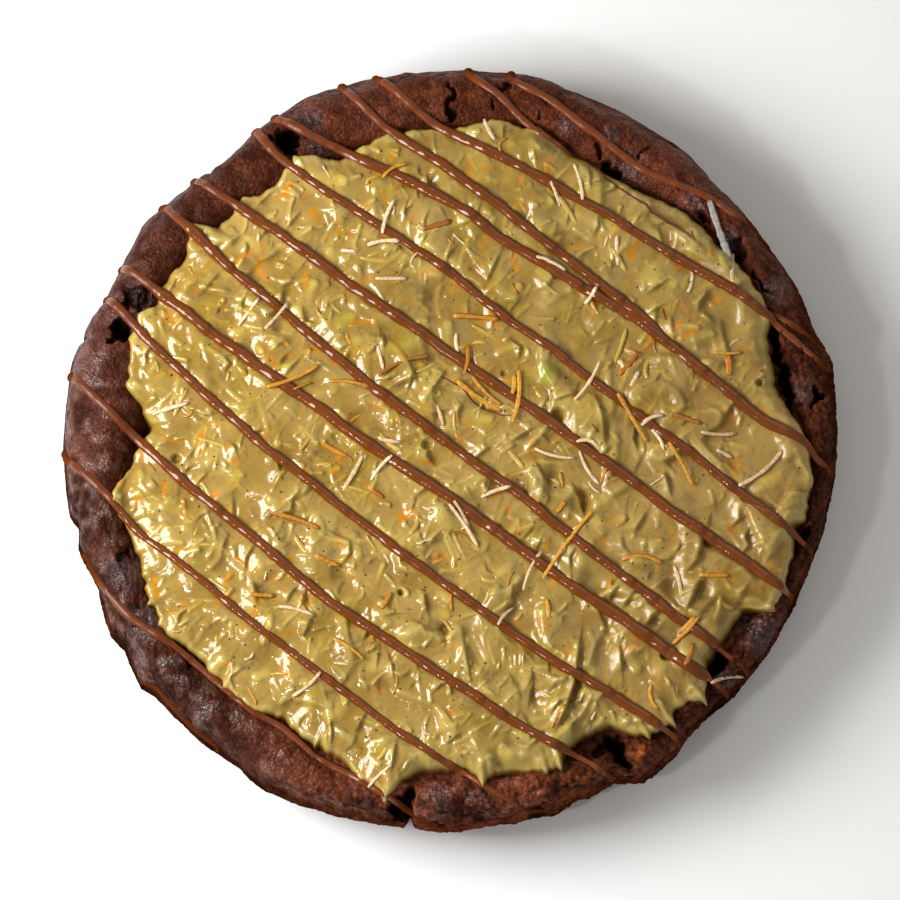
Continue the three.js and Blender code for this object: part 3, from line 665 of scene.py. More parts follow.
def crumb_relief(x, y, z, coarse):
    """Bumps of the baked crumb, and how high on a grain each place is."""
    place = x, y, z
    swell = 0.36 * bumps(place, 3.1, 3) + 0.2 * bumps(place, 1.5)
    swell = swell + coarse * (0.3 * bumps(place, 2.2, 5) - 0.1)
    bend = 0.4 * bumps(place, 0.9, 7)
    grain = 0.6 - nearest_grain(x + bend, y - bend, z, GRAIN_SIZE)
    fine = 0.14 * coarse * bumps(place, 0.5, 11)
    return swell + (0.16 + 0.54 * coarse) * grain + fine, grain


def near_places(x, y, places):
    """How near each place is to the listed ones, from 0 to 1."""
    near = np.zeros_like(x)
    for turn, middle, size in places:
        c, s = compass(turn)
        off = ((x - middle * c) ** 2 + (y - middle * s) ** 2) / size**2
        near = np.maximum(near, np.exp(-(off**2)))
    return near


def biscuit_shape():
    """Rings of radius and height round the biscuit, and its rough, torn, grainy and sunk places."""
    angle = np.arange(AROUND) * 360 / AROUND
    cos, sin = (part[:, None] for part in compass(angle))
    fine = fine_sections(angle)
    radius, height, share = fine[..., 0], fine[..., 1], np.clip(fine[..., 2], 0, 1)
    x, y = radius * cos, radius * sin
    slope_r, slope_z = np.gradient(radius, axis=1), np.gradient(height, axis=1)
    length = np.hypot(slope_r, slope_z)
    out_r, out_z = -slope_z / length, slope_r / length
    rough = smooth_step(-0.1, 0.75, compass(angle - COARSE_SIDE)[0])
    rough = np.maximum(rough, 0.75 * hump(angle, *COARSE_PATCH))[:, None] * np.ones_like(radius)
    torn = near_places(x, y, TORN)
    push, grain = crumb_relief(x, y, height, np.maximum(rough, torn))
    push = share * (LUMP * relief(x, y, height, LUMP_SIZE) + push)
    radius, height = radius + out_r * push, height + out_z * push
    for turn, depth, width in NOTCHES:
        radius = radius - depth * hump(angle, turn, width)[:, None] * smooth_step(49, 53, radius)
    x, y = radius * cos, radius * sin
    place = x, y, 0
    bent_x = x + 0.9 * bumps(place, 1.7, 41) + 0.35 * bumps(place, 0.6, 42)
    bent_y = y + 0.9 * bumps(place, 1.7, 43) + 0.35 * bumps(place, 0.6, 44)
    uneven = 0.75 + 0.35 * bumps(place, 1.1, 45)
    sunk = np.zeros_like(radius)
    for turn, middle, outwards, sideways, depth in PITS:
        c, s = compass(turn)
        along, aside = bent_x * c + bent_y * s - middle, bent_y * c - bent_x * s
        hole = 1 - smooth_step(0.45, 1.15, (along / outwards) ** 2 + (aside / sideways) ** 2)
        sunk = np.maximum(sunk, depth * hole * uneven * (height > BELLY * 0.6))
    height = np.maximum(height - sunk, 0)
    return angle, radius, height, rough, torn, grain, sunk


ANGLE, RADIUS, HEIGHT, ROUGH, TORN_CRUMB, GRAIN, SUNK = biscuit_shape()
RING_COS, RING_SIN = (part[:, None] for part in compass(ANGLE))
RINGS = RADIUS.shape[1]


def biscuit_top_field():
    """Height of the biscuit's top over the plan grid."""
    step = 0.1
    reach = np.arange(34, 58, step)
    table = np.empty((AROUND + 1, reach.size))
    for row in range(AROUND):
        radii = np.maximum.accumulate(RADIUS[row, :TOP_RINGS] + np.arange(TOP_RINGS) * 1e-6)
        table[row] = np.interp(reach, radii, HEIGHT[row, :TOP_RINGS])
    table[AROUND] = table[0]
    u = np.minimum(GRID_ANGLE / 360 * AROUND, AROUND - 1e-9)
    v = np.clip((GRID_R - reach[0]) / step, 0, reach.size - 1.001)
    return interpolated(table, u, v)


BISCUIT_TOP = biscuit_top_field()


def biscuit_tint():
    """Colour of the crumb, redder where it is coarse, with painted light and shade on the grains, round
    the rim, low on the side and in the holes, and its shine as a fourth value.
    """
    place = RADIUS * RING_COS, RADIUS * RING_SIN, HEIGHT
    patch = 0.5 + 0.5 * bumps(place, 4, 20)
    small = 0.5 + 0.5 * bumps(place, 1.3, 60)
    fine = bumps(place, 0.55, 80)
    mottle = 0.45 * patch + 0.55 * smooth_step(0.25, 0.75, small)
    colour = mixed(between(CRUMB, mottle), between(RUDDY_CRUMB, mottle), ROUGH * 0.9)
    colour = mixed(colour, linear(TORN_TINT), TORN_CRUMB * 0.7)
    colour = mixed(colour, linear(AMBER_TINT), near_places(*place[:2], AMBER) * 0.7 * small)
    coarse = np.maximum(ROUGH, TORN_CRUMB)
    # Lighter on the tops of the grains and darker between them, painted light and shade; the fine noise
    # is the crumb's random tone.
    light = 1 + (0.4 + coarse) * GRAIN + (0.2 + 0.5 * coarse) * fine
    # Round the rim: baked tone and painted light and shade; lower down the side: painted shade.
    light = light * outline(BAKED_TONE_AND_PAINTED_LIGHT, ANGLE)[:, None] * (0.55 + 0.45 * smooth_step(7, 14, HEIGHT))
    light = light * (1 + coarse * (0.8 * smooth_step(0.2, 0.8, patch) - 0.4))
    # Painted shade in the holes: the deeper a place is sunk, the darker it is painted; it also shines
    # less there.
    deep = np.exp(-SUNK / 0.7)
    upright = smooth_step(11.0, 15.0, HEIGHT)
    left = 0.6 * hump(ANGLE, *GLINTS_LEFT)[:, None]
    lower_left = hump(ANGLE, *GLINTS_LOWER_LEFT)[:, None] * smooth_step(0.4, 0.7, patch)
    bottom = 0.5 * hump(ANGLE, *GLINTS_BOTTOM)[:, None]
    facing = (left + lower_left + bottom) * smooth_step(0.45, 0.9, small)
    shine = (0.03 + facing + 0.2 * patch**2 * (1 - ROUGH) + 0.48 * TORN_CRUMB) * deep * upright
    colour = colour * np.clip(light * (0.06 + 0.94 * deep), 0.02, 2.4)[..., None]
    return np.concatenate([colour, np.clip(shine, 0, 1)[..., None]], axis=-1)


def build_biscuit():
    """The biscuit's rings, closed at the top and the bottom."""
    corners = np.stack([RADIUS * RING_COS, RADIUS * RING_SIN, HEIGHT], -1).reshape(-1, 3)
    tint = biscuit_tint().reshape(-1, 4)
    k, s = np.meshgrid(np.arange(RINGS - 1), np.arange(AROUND), indexing="ij")
    here, there = s * RINGS + k, ((s + 1) % AROUND) * RINGS + k
    quads = np.stack([here, here + 1, there + 1, there], -1).reshape(-1, 4)
    inmost = np.arange(AROUND) * RINGS
    after = np.roll(inmost, -1)
    top, bottom = np.full(AROUND, len(corners)), np.full(AROUND, len(corners) + 1)
    fans = np.concatenate([
        np.stack([top, inmost, after], 1),
        np.stack([bottom, after + RINGS - 1, inmost + RINGS - 1], 1),
    ])
    corners = np.concatenate([corners, [[0, 0, FLOOR], [0, 0, 0]]])
    tint = np.concatenate([tint, tint[:1], tint[-1:]])
    return make_piece("biscuit", corners, [quads, fans], "cookie", ["cookie"], tint)


# ---------------------------------------------------------------- the cream

def cream_level():
    """Height of the cream's smooth body over the plan grid, and how far inside it each place is."""
    edge = turn_at(CREAM_RAGGED, GRID_ANGLE)
    depth = np.clip(edge - GRID_R, 0, None)
    rise = np.clip(depth / LIP_ROUND, 0, 1)
    round_lip = np.sqrt(1 - (1 - np.clip(depth / 1.1, 0, 1)) ** 2)
    lip = blur(BISCUIT_TOP, 0.7) + CREAM_LIP * round_lip + 0.05
    middle = CREAM_TOP + CREAM_DOME * (1 - (GRID_R / edge) ** 2)
    middle = middle + WAVE * relief(GRID_X, GRID_Y, 0, WAVE_SIZE)
    level = lip + (middle - lip) * np.sqrt(1 - (1 - rise) ** 2)
    return np.maximum(level, lip), depth


def stamp_shred(field, x, y, direction, length, width, height, bow, lean):
    """Raises the field to a shred coated with cream. One of its ends is sunk as lean says."""
    part = window(x, y, length / 2 + width)
    dx, dy = GRID_X[part] - x, GRID_Y[part] - y
    c, s = math.cos(direction), math.sin(direction)
    along = (dx * c + dy * s) / (length / 2)
    across = -dx * s + dy * c - bow * (1 - along**2)
    over = np.clip(np.abs(along) - 1 + width / length, 0, None) * length / 2
    round_off = np.clip(1 - (across**2 + over**2) / width**2, 0, 1)
    shape = height * round_off**0.65 * np.clip(0.62 + lean * along, 0, 1.2)
    field[part] = np.maximum(field[part], shape)


def stamp_fold(field, points, height, reach=3.2):
    """Adds a fold: a steep edge, high on its left, that dies away on both sides and at its ends."""
    line = np.array(points, float)
    length = np.concatenate([[0], np.cumsum(np.hypot(*np.diff(line, axis=0).T))])
    marks = np.linspace(0, length[-1], 4 + int(length[-1] / 0.25))
    px, py = (np.interp(marks, length, line[:, i]) for i in (0, 1))
    tx, ty = np.gradient(px), np.gradient(py)
    part = window(px.mean(), py.mean(), length[-1] / 2 + 3.5)
    dx, dy = GRID_X[part][..., None] - px, GRID_Y[part][..., None] - py
    nearest = np.argmin(dx**2 + dy**2, axis=-1)
    dx, dy = (np.take_along_axis(d, nearest[..., None], -1)[..., 0] for d in (dx, dy))
    side = np.sign(tx[nearest] * dy - ty[nearest] * dx)
    gap = np.hypot(dx, dy)
    high = np.clip(1 - gap / reach, 0, 1) ** 1.5
    low = -0.55 * hump(gap, 0, 0.4 * reach)
    fade = np.sin(math.pi * (0.06 + 0.88 * nearest / (len(px) - 1)))
    field[part] += height * fade * np.where(side > 0, high, low)


def shred_field():
    """Relief of the shreds and of the nut pieces under the cream's skin, and how crowded it is."""
    draw = np.random.default_rng(7)
    crowd = smooth_step(-1.3, 1.1, soft_noise(11, 2.6)) * (1 - 0.15 * smooth_step(-10, 35, GRID_X))
    crowd = np.maximum(crowd, 0.85 * np.exp(-squared_distance(5, -1) / 15**2))
    shreds = np.zeros_like(GRID_X)
    for _ in range(SMALL_SHREDS):
        x, y = scattered(draw, 51)
        length = 1.4 + 4.6 * draw.uniform() ** 1.5
        width = draw.uniform(0.28, 0.55)
        height = draw.uniform(0.12, 0.74)
        direction = draw.uniform(0, math.pi)
        bow = draw.normal(0, 0.22) * length / 4
        lean = draw.uniform(-0.6, 0.6)
        if draw.uniform() < 0.08 + 0.92 * float(at(crowd, x, y)):
            stamp_shred(shreds, x, y, direction, length, width, height, bow, lean)
    for x, y, direction, length, count in BUNDLES:
        for k in range(count):
            turn = math.radians(direction + draw.normal(0, 9))
            aside = (k - (count - 1) / 2) * 0.62
            along = draw.normal(0, 0.5)
            c, s = math.cos(turn), math.sin(turn)
            stamp_shred(shreds, x - aside * s + along * c, y + aside * c + along * s, turn,
                        length * draw.uniform(0.6, 1.05), draw.uniform(0.26, 0.36),
                        draw.uniform(0.5, 0.85), draw.normal(0, 0.15), draw.uniform(-0.3, 0.3))
    nuts = np.zeros_like(GRID_X)
    for _ in range(NUT_PIECES):
        x, y = scattered(draw, 50)
        long = draw.uniform(0.7, 2.3)
        stamp_shred(nuts, x, y, draw.uniform(0, math.pi), 2 * long, long * draw.uniform(0.35, 0.7),
                    draw.uniform(0.2, 0.85), draw.normal(0, 0.2), draw.uniform(-0.5, 0.5))
    for x, y, size, _ in GREEN_BITS:
        stamp_shred(nuts, x, y, 0.4, 2.2 * size, size, 0.9, 0, 0.1)
    return shreds, nuts, crowd


def fold_field():
    """Thick lumps and folds that the cream keeps where it was spread, steep on one side."""
    bend_x, bend_y = soft_noise(13, 2.2), soft_noise(14, 2.2)
    field = relief(GRID_X + 1.6 * bend_x, GRID_Y + 1.6 * bend_y, 31, 5.6)
    toward = compass(GRID_ANGLE - 330)[0] * GRID_R / 45
    lumps = smooth_step(-0.14, 0.2, field) * (0.5 + 0.35 * np.clip(toward, -0.6, 1))
    for height, points in FOLDS:
        stamp_fold(lumps, points, 1.3 * height)
    draw = np.random.default_rng(17)
    for _ in range(SMALL_FOLDS):
        x, y = scattered(draw, 46)
        turn = math.radians(draw.normal(75, 40))
        half = draw.uniform(0.7, 2.2)
        bow = draw.normal(0, 0.3) * half
        points = np.column_stack(bowed_line(x, y, turn, 2 * half, bow, np.array([-1, 0, 1])))
        stamp_fold(lumps, points, draw.uniform(0.2, 0.6), 0.8 + 0.6 * half)
    return blur(lumps, 0.13)


def strand_path(strand, spacing=0.4):
    """Points of the plan along a strand, with its small wobble."""
    along, across = np.array(strand, float).T
    count = int((along[-1] - along[0]) / spacing)
    a = np.linspace(along[0], along[-1], count)
    b = np.interp(a, along, across)
    reach = 8
    kernel = np.exp(-0.5 * (np.arange(-reach, reach + 1) / 3.0) ** 2)
    kernel /= kernel.sum()
    b = np.convolve(np.pad(b, reach, mode="reflect", reflect_type="odd"), kernel, "valid")
    b += 0.10 * noise(a / 2.6, across[0], 0) + 0.12 * noise(a / 6.0, 0, across[0])
    c, s = compass(DRIZZLE_ANGLE)
    return a * c + b * s, -a * s + b * c


def strand_beds():
    """How near each place is to a strand, from 0 to 1."""
    beds = np.zeros_like(GRID_X)
    for _, strand in STRANDS:
        for x, y in zip(*strand_path(strand, 0.6)):
            part = window(x, y, 2.2)
            near = np.exp(-squared_distance(x, y, part) / (2 * 0.75**2))
            beds[part] = np.maximum(beds[part], near)
    return beds


LEVEL, DEPTH = cream_level()
SHREDS, NUTS, CROWD = shred_field()
BEDS = strand_beds()


def soft_maximum(a, b, sharpness):
    """The higher of two surfaces, with a rounded valley where they meet."""
    return np.logaddexp(sharpness * a, sharpness * b) / sharpness


def cream_field():
    """Height of the cream: shreds and folds under a skin that runs smoothly from one to the next."""
    inland = smooth_step(0.0, 1.6, DEPTH)
    heap = np.maximum(SHREDS, NUTS)
    skin = 1.2 * blur(heap, 0.7) - 0.08
    coated = 0.9 * blur(soft_maximum(heap - 0.05, skin, 12), 0.08)
    pools = 0.20 * soft_noise(23, 1.5) + 0.04 * soft_noise(24, 0.7)
    calm = (1 - 0.6 * BEDS) * (1 - 0.2 * smooth_step(-5, 30, GRID_X + 0.6 * GRID_Y))
    height = (coated + pools) * calm + fold_field() * (1 - 0.4 * BEDS) - 0.42
    for x, y, size, depth in DENTS:
        height -= depth * np.exp(-((squared_distance(x, y) / size**2) ** 2))
    return LEVEL + height * (0.25 + 0.75 * inland), coated


CREAM, SKIN = cream_field()
# How hollow each place is; it places the painted shade in creases and the painted light on ridges.
HOLLOW = blur(CREAM, 0.8) - blur(CREAM, 0.15)
PATCHES = soft_noise(31, 4.0) * 0.45 + soft_noise(32, 1.3) * 0.6


def stain_field(seed, count, low, high, width):
    """Patches of another colour, from 0 to 1, as long as low to high."""
    draw = np.random.default_rng(seed)
    field = np.zeros_like(GRID_X)
    for _ in range(count):
        x, y = scattered(draw, 50)
        stamp_shred(field, x, y, draw.uniform(0, math.pi), draw.uniform(low, high),
                    draw.uniform(*width), draw.uniform(0.4, 1.3), draw.normal(0, 0.2),
                    draw.uniform(-0.4, 0.4))
    return field


def orange_field():
    """Where orange shreds and stains show through, from 0 up."""
    field = stain_field(51, ORANGE_STAINS, 0.8, 3.6, (0.2, 0.6))
    for x, y, direction, length, width in ORANGE_BITS:
        stamp_shred(field, x, y, math.radians(direction), length, width, 1.5, 0.1, 0.0)
    return blur(field, 0.13)


def green_field():
    """Where green nut pieces show through, from 0 to 1."""
    field = blur(stain_field(52, GREEN_STAINS, 0.8, 2.0, (0.3, 0.6)), 0.16) * 0.4
    for x, y, size, strength in GREEN_BITS:
        near = (squared_distance(x, y) / size**2) ** 1.6
        field = np.maximum(field, strength * np.exp(-near))
    return field


STAINS = orange_field()
GREENS = green_field()
# Painted shade on the right, away from the lights, and painted light at the upper left.
PAINTED_SHADE_RIGHT = (0.08, 0.13, 0.18)  # share of its red, green and blue that the cream loses there
PAINTED_LIGHT_UPPER_LEFT = 0.09


def cream_tint(x, y):
    """Colour of the cream: dull pools, yellower shreds, stains, painted shade in creases, painted light
    on ridges and at the upper left, painted shade on the right, and its gloss.
    """
    high = smooth_step(0.15, 0.6, at(SKIN, x, y))
    patch = 0.5 + 0.5 * np.clip(at(PATCHES, x, y), -1, 1)
    hollow = at(HOLLOW, x, y)
    colour = mixed(between(POOL, patch), between(SHRED, patch), high * 0.85)
    for other, share in (
        (ORANGE, np.clip(1.4 * at(STAINS, x, y), 0, 1) * 0.85),
        # Painted shade in creases and painted light on ridges.
        (PAINTED_CREASE_SHADE, smooth_step(0.04, 0.42, hollow) * 0.66),
        (PAINTED_RIDGE_LIGHT, smooth_step(0.03, 0.3, -hollow) * 0.4),
        (GREEN, np.clip(at(GREENS, x, y), 0, 1) * 0.85),
    ):
        colour = mixed(colour, linear(other), share)
    # Painted shade on the right and painted light at the upper left.
    right = smooth_step(12, 38, x) * (1 - smooth_step(2, 22, y))
    colour = colour * (1 - right[..., None] * np.array(PAINTED_SHADE_RIGHT))
    upper_left = smooth_step(6, 26, -x) * smooth_step(4, 24, y)
    colour = colour * (1 + PAINTED_LIGHT_UPPER_LEFT * upper_left[..., None])
    gloss = 1 - 0.8 * smooth_step(-8, 36, x)
    return np.concatenate([colour, gloss[..., None]], axis=-1)


CREAM_CELLS = 534
CREAM_BANDS = 3  # the cream's mesh is cut in bands to keep each piece's size down


def disc_grid(cells):
    """Even grid on the unit disc: share of the radius and angle in degrees, cell by cell."""
    line = np.linspace(-1, 1, cells + 1)
    a, b = np.meshgrid(line, line, indexing="ij")
    wide = np.abs(a) > np.abs(b)
    safe_a, safe_b = np.where(a == 0, 1e-9, a), np.where(b == 0, 1e-9, b)
    share = np.where(wide, a, b)
    turn = np.where(wide, 45 * b / safe_a, 90 - 45 * a / safe_b)
    angle = np.where(share < 0, turn + 180, turn) % 360
    return np.abs(share), angle


def cream_band(name, top, normals):
    """Closed body under a part of the cream's top, with the normals of the whole top."""
    rows, columns = top.shape[:2]
    index = np.arange(rows * columns).reshape(rows, columns)
    quads = np.stack([index[:-1, :-1], index[1:, :-1], index[1:, 1:], index[:-1, 1:]], -1)
    border = np.concatenate([index[:-1, 0], index[-1, :-1], index[:0:-1, -1], index[0, :0:-1]])
    top, normals = top.reshape(-1, 3), normals.reshape(-1, 3)
    lower = top[border].copy()
    lower[:, 2] = at(BISCUIT_TOP, lower[:, 0], lower[:, 1]) - 0.3
    middle = np.append(lower[:, :2].mean(axis=0), FLOOR - 0.3)
    corners = np.concatenate([top, lower, [middle]])
    below = np.arange(len(border)) + len(top)
    after = np.roll(below, -1)
    walls = np.stack([below, after, np.roll(border, -1), border], 1)
    fan = np.stack([np.full(len(below), len(corners) - 1), after, below], 1)
    sideways = lower * [1, 1, 0]
    sideways /= np.linalg.norm(sideways, axis=1, keepdims=True)
    tint = cream_tint(corners[:, 0], corners[:, 1])
    faces = [np.concatenate([quads.reshape(-1, 4), walls]), fan]
    band = make_piece(name, corners, faces, "cream", ["pistachio_cream"], tint)
    upright = np.concatenate([normals, sideways, [[0, 0, -1]]])
    band.data.normals_split_custom_set_from_vertices(upright.tolist())
    return band


def build_cream():
    """The cream as bands that lie side by side."""
    share, angle = disc_grid(CREAM_CELLS)
    smooth, ragged = turn_at(CREAM_SMOOTH, angle), turn_at(CREAM_RAGGED, angle)
    radius = share * (smooth + (ragged - smooth) * share**8)
    x, y = (radius * part for part in compass(angle))
    top = np.stack([x, y, at(CREAM, x, y)], -1)
    normals = np.cross(np.gradient(top, axis=0), np.gradient(top, axis=1))
    normals /= np.linalg.norm(normals, axis=-1, keepdims=True)
    cuts = np.linspace(0, CREAM_CELLS, CREAM_BANDS + 1).astype(int)
    return [
        cream_band(f"cream_{k + 1}", top[a:b + 1], normals[a:b + 1])
        for k, (a, b) in enumerate(zip(cuts[:-1], cuts[1:]))
    ]


def build_coated_shreds():
    """Shreds that stick out of the cream, with its colour and gloss."""
    draw = np.random.default_rng(71)
    heap = Heap()
    ground = blur(CREAM, 0.5)
    for _ in range(COATED_SHREDS):
        x, y = scattered(draw, 50)
        length = 1.6 + 4.4 * draw.uniform() ** 1.3
        turn = draw.uniform(0, 2 * math.pi)
        half = draw.uniform(0.2, 0.4)
        bow = draw.normal(0, 0.12) * length
        lean = draw.uniform(-0.5, 0.5)
        lift = draw.uniform(-0.3, 0.0)
        shade = draw.uniform()
        pair = COATED_ORANGE if draw.uniform() < 0.09 else COATED
        kept = draw.uniform() < 0.1 + 0.9 * float(at(CROWD, x, y))
        t = np.linspace(-1, 1, max(5, int(length / 0.45)))
        px, py = bowed_line(x, y, turn, length, bow, t)
        if not kept or at(DEPTH, px, py).min() < 0.5 or at(BEDS, px, py).max() > 0.6:
            continue
        z = at(ground, px, py)
        z = 0.5 * z + 0.5 * np.interp(t, [-1, 1], z[[0, -1]]) + lift + lean * t * 0.5
        size = half * np.sqrt(1.02 - np.abs(t) ** 5)
        size = size * (1 + 0.2 * noise(t * length / 1.1, x, y))
        heap.add(*sweep(np.column_stack([px, py, z]), size, size * 0.7, 10), between(pair, shade))
    return heap.piece("coated_shreds", "cream", ["pistachio_cream"])


# ---------------------------------------------------------------- strands

SURFACE = np.where(DEPTH > 0.15, CREAM, BISCUIT_TOP)
STRAND_BED = blur(SURFACE, 0.4)
STRAND_STEP = 0.35
STRAND_SIDES = 12
END_INSET = 0.5  # a strand's path stops this far inside the outline before it goes down the side
SIDE_REACH = 3.4  # a strand that ends nearer the outline than this goes on down the side
SIGNED_DEPTH = turn_at(CREAM_RAGGED, GRID_ANGLE) - GRID_R  # negative outside the cream


def rope_height(support, rounds):
    """A strand falls onto its support but bridges the dips."""
    z = support.copy()
    for _ in range(rounds):
        z[1:-1] = np.maximum(support[1:-1], 0.5 * (z[:-2] + z[2:]))
    return z


def even_path(path, spacing):
    """The same route with evenly spaced, slightly rounded points."""
    length = np.concatenate([[0], np.cumsum(np.linalg.norm(np.diff(path, axis=0), axis=1))])
    marks = np.linspace(0, length[-1], max(4, int(length[-1] / spacing)))
    even = np.column_stack([np.interp(marks, length, path[:, i]) for i in range(3)])
    for _ in range(3):
        even[1:-1] = 0.25 * even[:-2] + 0.5 * even[1:-1] + 0.25 * even[2:]
    return even


def side_drop(x, y, lowest):
    """Points where a strand goes on down the biscuit's side, to the height lowest."""
    turn = bearing(x, y)
    row = int(round(turn / 360 * AROUND)) % AROUND
    outer = (RADIUS[row] > math.hypot(x, y) + 0.05) & (np.arange(RINGS) < SIDE_RINGS)
    rings = np.flatnonzero(outer & (HEIGHT[row] > lowest))
    c, s = compass(turn)
    return np.column_stack([RADIUS[row, rings] * c, RADIUS[row, rings] * s, HEIGHT[row, rings]])


def strand_route(strand, draw):
    """Centre line of a strand over what it lies on, and down the side where it reaches it."""
    x, y = strand_path(strand)
    far = np.hypot(x, y)
    edge = outline(BISCUIT_EDGE, bearing(x, y))
    inside = np.minimum(1, (edge - END_INSET) / far)
    x, y = x * inside, y * inside
    path = np.column_stack([x, y, rope_height(at(STRAND_BED, x, y), 30)])
    before = after = np.empty((0, 3))
    if far[0] > edge[0] - SIDE_REACH:
        before = side_drop(x[0], y[0], draw.uniform(8.0, 10.5))[::-1]
    if far[-1] > edge[-1] - SIDE_REACH:
        after = side_drop(x[-1], y[-1], draw.uniform(8.0, 10.5))
    return even_path(np.concatenate([before, path, after]), STRAND_STEP)


def add_strand(heap, strand, cream_width, seed):
    """A flattened bead of chocolate, thinner and duller on the rim than on the cream."""
    path = strand_route(strand, np.random.default_rng(seed))
    x, y, z = path.T
    steps = np.arange(len(path)) * STRAND_STEP
    row = seed + 0.5
    on_cream = smooth_step(-0.6, 1.0, at(SIGNED_DEPTH, x, y))
    rim_width = outline(RIM_WIDTHS, bearing(x, y))
    width = rim_width + (cream_width - rim_width) * on_cream
    width = width * (1.04 + 0.15 * noise(steps / 3.4, row, 0) + 0.13 * noise(steps / 1.1, row, 5))
    ends = np.minimum(steps, steps[::-1])
    half = 0.5 * width * np.sqrt(np.clip(1 - (1 - np.clip(ends / 3.0, 0, 1)) ** 2, 0.02, 1))
    high = half * (0.66 + 0.22 * noise(steps, row, 9))
    z += 0.02 + 0.10 * on_cream + 0.18 * noise(steps / 1.4, row, 3)
    z += 0.03 * noise(steps / 0.6, row, 4)
    outward = np.column_stack([x, y, 0 * z])
    outward /= np.linalg.norm(outward, axis=1, keepdims=True)
    lean = 1 - smooth_step(10.5, 14.0, z)[:, None]
    up = np.array([0, 0, 1.0]) * (1 - lean) + outward * lean
    upright = smooth_step(13.0, 15.5, z) * (0.7 + 0.3 * on_cream)
    # Painted light and shade of the strands on the rim, by angle, and painted shade lower down the
    # side.
    rim_painted_light = outline(PAINTED_RIM_LIGHT, bearing(x, y)) * (0.62 + 0.38 * smooth_step(12.5, 15.0, z))
    shade = rim_painted_light + (1 - rim_painted_light) * on_cream
    tint = np.column_stack([
        np.concatenate([np.repeat(value, STRAND_SIDES), value[:1], value[-1:]])
        for value in (on_cream, upright, shade)
    ])
    heap.add(*sweep(path, half, high, STRAND_SIDES, up), tint)
    return path, half


def add_fine_strand(heap, half, points):
    """A thread of chocolate that has sunk into the cream a little."""
    places = np.array(points)
    route = even_path(np.column_stack([places, 0 * places[:, 0]]), STRAND_STEP)
    route[:, :2] += 0.12 * noise(route[:, 0] / 1.5, route[:, 1] / 1.5, 3)[:, None]
    route[:, 2] = at(CREAM, route[:, 0], route[:, 1]) + 0.1 - half
    size = half * np.sin(np.linspace(0.15, math.pi - 0.15, len(route))) ** 0.4
    heap.add(*sweep(route, size, size, 8), np.array([0.2, 1.0, 1.0]))


def build_strands():
    """The drizzle, and the route and half width of each thick strand."""
    heap = Heap()
    routes = [
        add_strand(heap, strand, width, seed) for seed, (width, strand) in enumerate(STRANDS, 60)
    ]
    for half, points in FINE_THREADS:
        add_fine_strand(heap, half, points)
    return heap.piece("drizzle", "drizzle", ["cookie", "pistachio_cream"]), routes


def covered_surface(routes):
    """The top with the strands on it, for what lies over them."""
    field = SURFACE.copy()
    for path, size in routes:
        for (x, y, z), half in list(zip(path, size))[::2]:
            part = window(x, y, half)
            off = squared_distance(x, y, part) / half**2
            top = np.where(off < 1, z + 0.62 * np.sqrt(np.clip(1 - off, 0, 1)), -1)
            field[part] = np.maximum(field[part], top)
    return field


# ---------------------------------------------------------------- threads and specks

def add_thread(heap, top, x, y, direction, length, bow, width, thickness, tint, press):
    """A dry shred of pastry resting on the highest places under it."""
    t = np.linspace(-1, 1, max(6, int(length / 0.5)))
    px, py = bowed_line(x, y, math.radians(direction), length, bow, t)
    ground = at(top, px, py)
    line = np.interp(t, [-1, 1], [ground[:2].mean(), ground[-2:].mean()])
    z = line + press * max(0, float((ground - line).max())) + thickness * 0.35
    z = np.maximum(z, ground + thickness * 0.1) * 0.6 + z * 0.4
    taper = np.clip(1.15 - np.abs(t) ** 5 * 0.5, 0.2, 1)
    taper = taper * (1 + 0.28 * noise(t * length / 1.6, x, y))
    path = np.column_stack([px, py, z])
    heap.add(*sweep(path, width / 2 * taper, thickness / 2 * taper, 6), tint)


# Loose threads: name, slot, rows, colours, seed, widths, and number and lengths of the small ones.
THREADS = [
    ("pale_threads", "pale_thread", PALE_THREADS, PALE, 91, (0.45, 0.65), 22, (1.0, 2.6)),
    ("gold_threads", "toasted_thread", GOLD_THREADS, GOLD, 92, (0.45, 0.72), 36, (1.0, 3.0)),
    ("russet_threads", "toasted_thread", RUSSET_THREADS, RUSSET, 93, (0.55, 0.8), 12, (0.8, 2.0)),
]


def build_threads(top, name, slot, rows, pair, seed, widths, small, small_length):
    """The threads that the rows place, and a number of small ones strewn over the cream."""
    draw = np.random.default_rng(seed)
    heap = Heap()
    for x, y, direction, length, bow, *own in rows:
        tint = between(pair, draw.uniform())
        bow = bow or draw.normal(0, 0.04) * length
        width, thickness, press = draw.uniform(*widths), draw.uniform(0.11, 0.15), 0.75
        if own:
            width, tint, press = own[0], linear(own[1]), 1.0
        add_thread(heap, top, x, y, direction, length, bow, width, thickness, tint, press)
    for _ in range(small):
        x, y = scattered(draw, 48)
        length = draw.uniform(*small_length)
        direction = draw.uniform(0, 180)
        bow = draw.normal(0, 0.1) * length
        tint = between(pair, draw.uniform())
        width = draw.uniform(0.26, 0.42)
        if at(DEPTH, x, y) > 1.5 and at(BEDS, x, y) < 0.3:
            add_thread(heap, top, x, y, direction, length, bow, width, 0.14, tint, 0.0)
    return heap.piece(name, slot, ["pistachio_cream"])


def chip(draw, size):
    """A small uneven lump of eight faces round the origin."""
    corners = np.array([
        [1, 0, 0], [-1, 0, 0], [0, 1, 0], [0, -1, 0], [0, 0, 1], [0, 0, -1],
    ], float) * draw.uniform(0.6, 1.2, (6, 1)) * size
    faces = np.array([
        [0, 2, 4], [2, 1, 4], [1, 3, 4], [3, 0, 4], [2, 0, 5], [1, 2, 5], [3, 1, 5], [0, 3, 5],
    ])
    return corners, faces


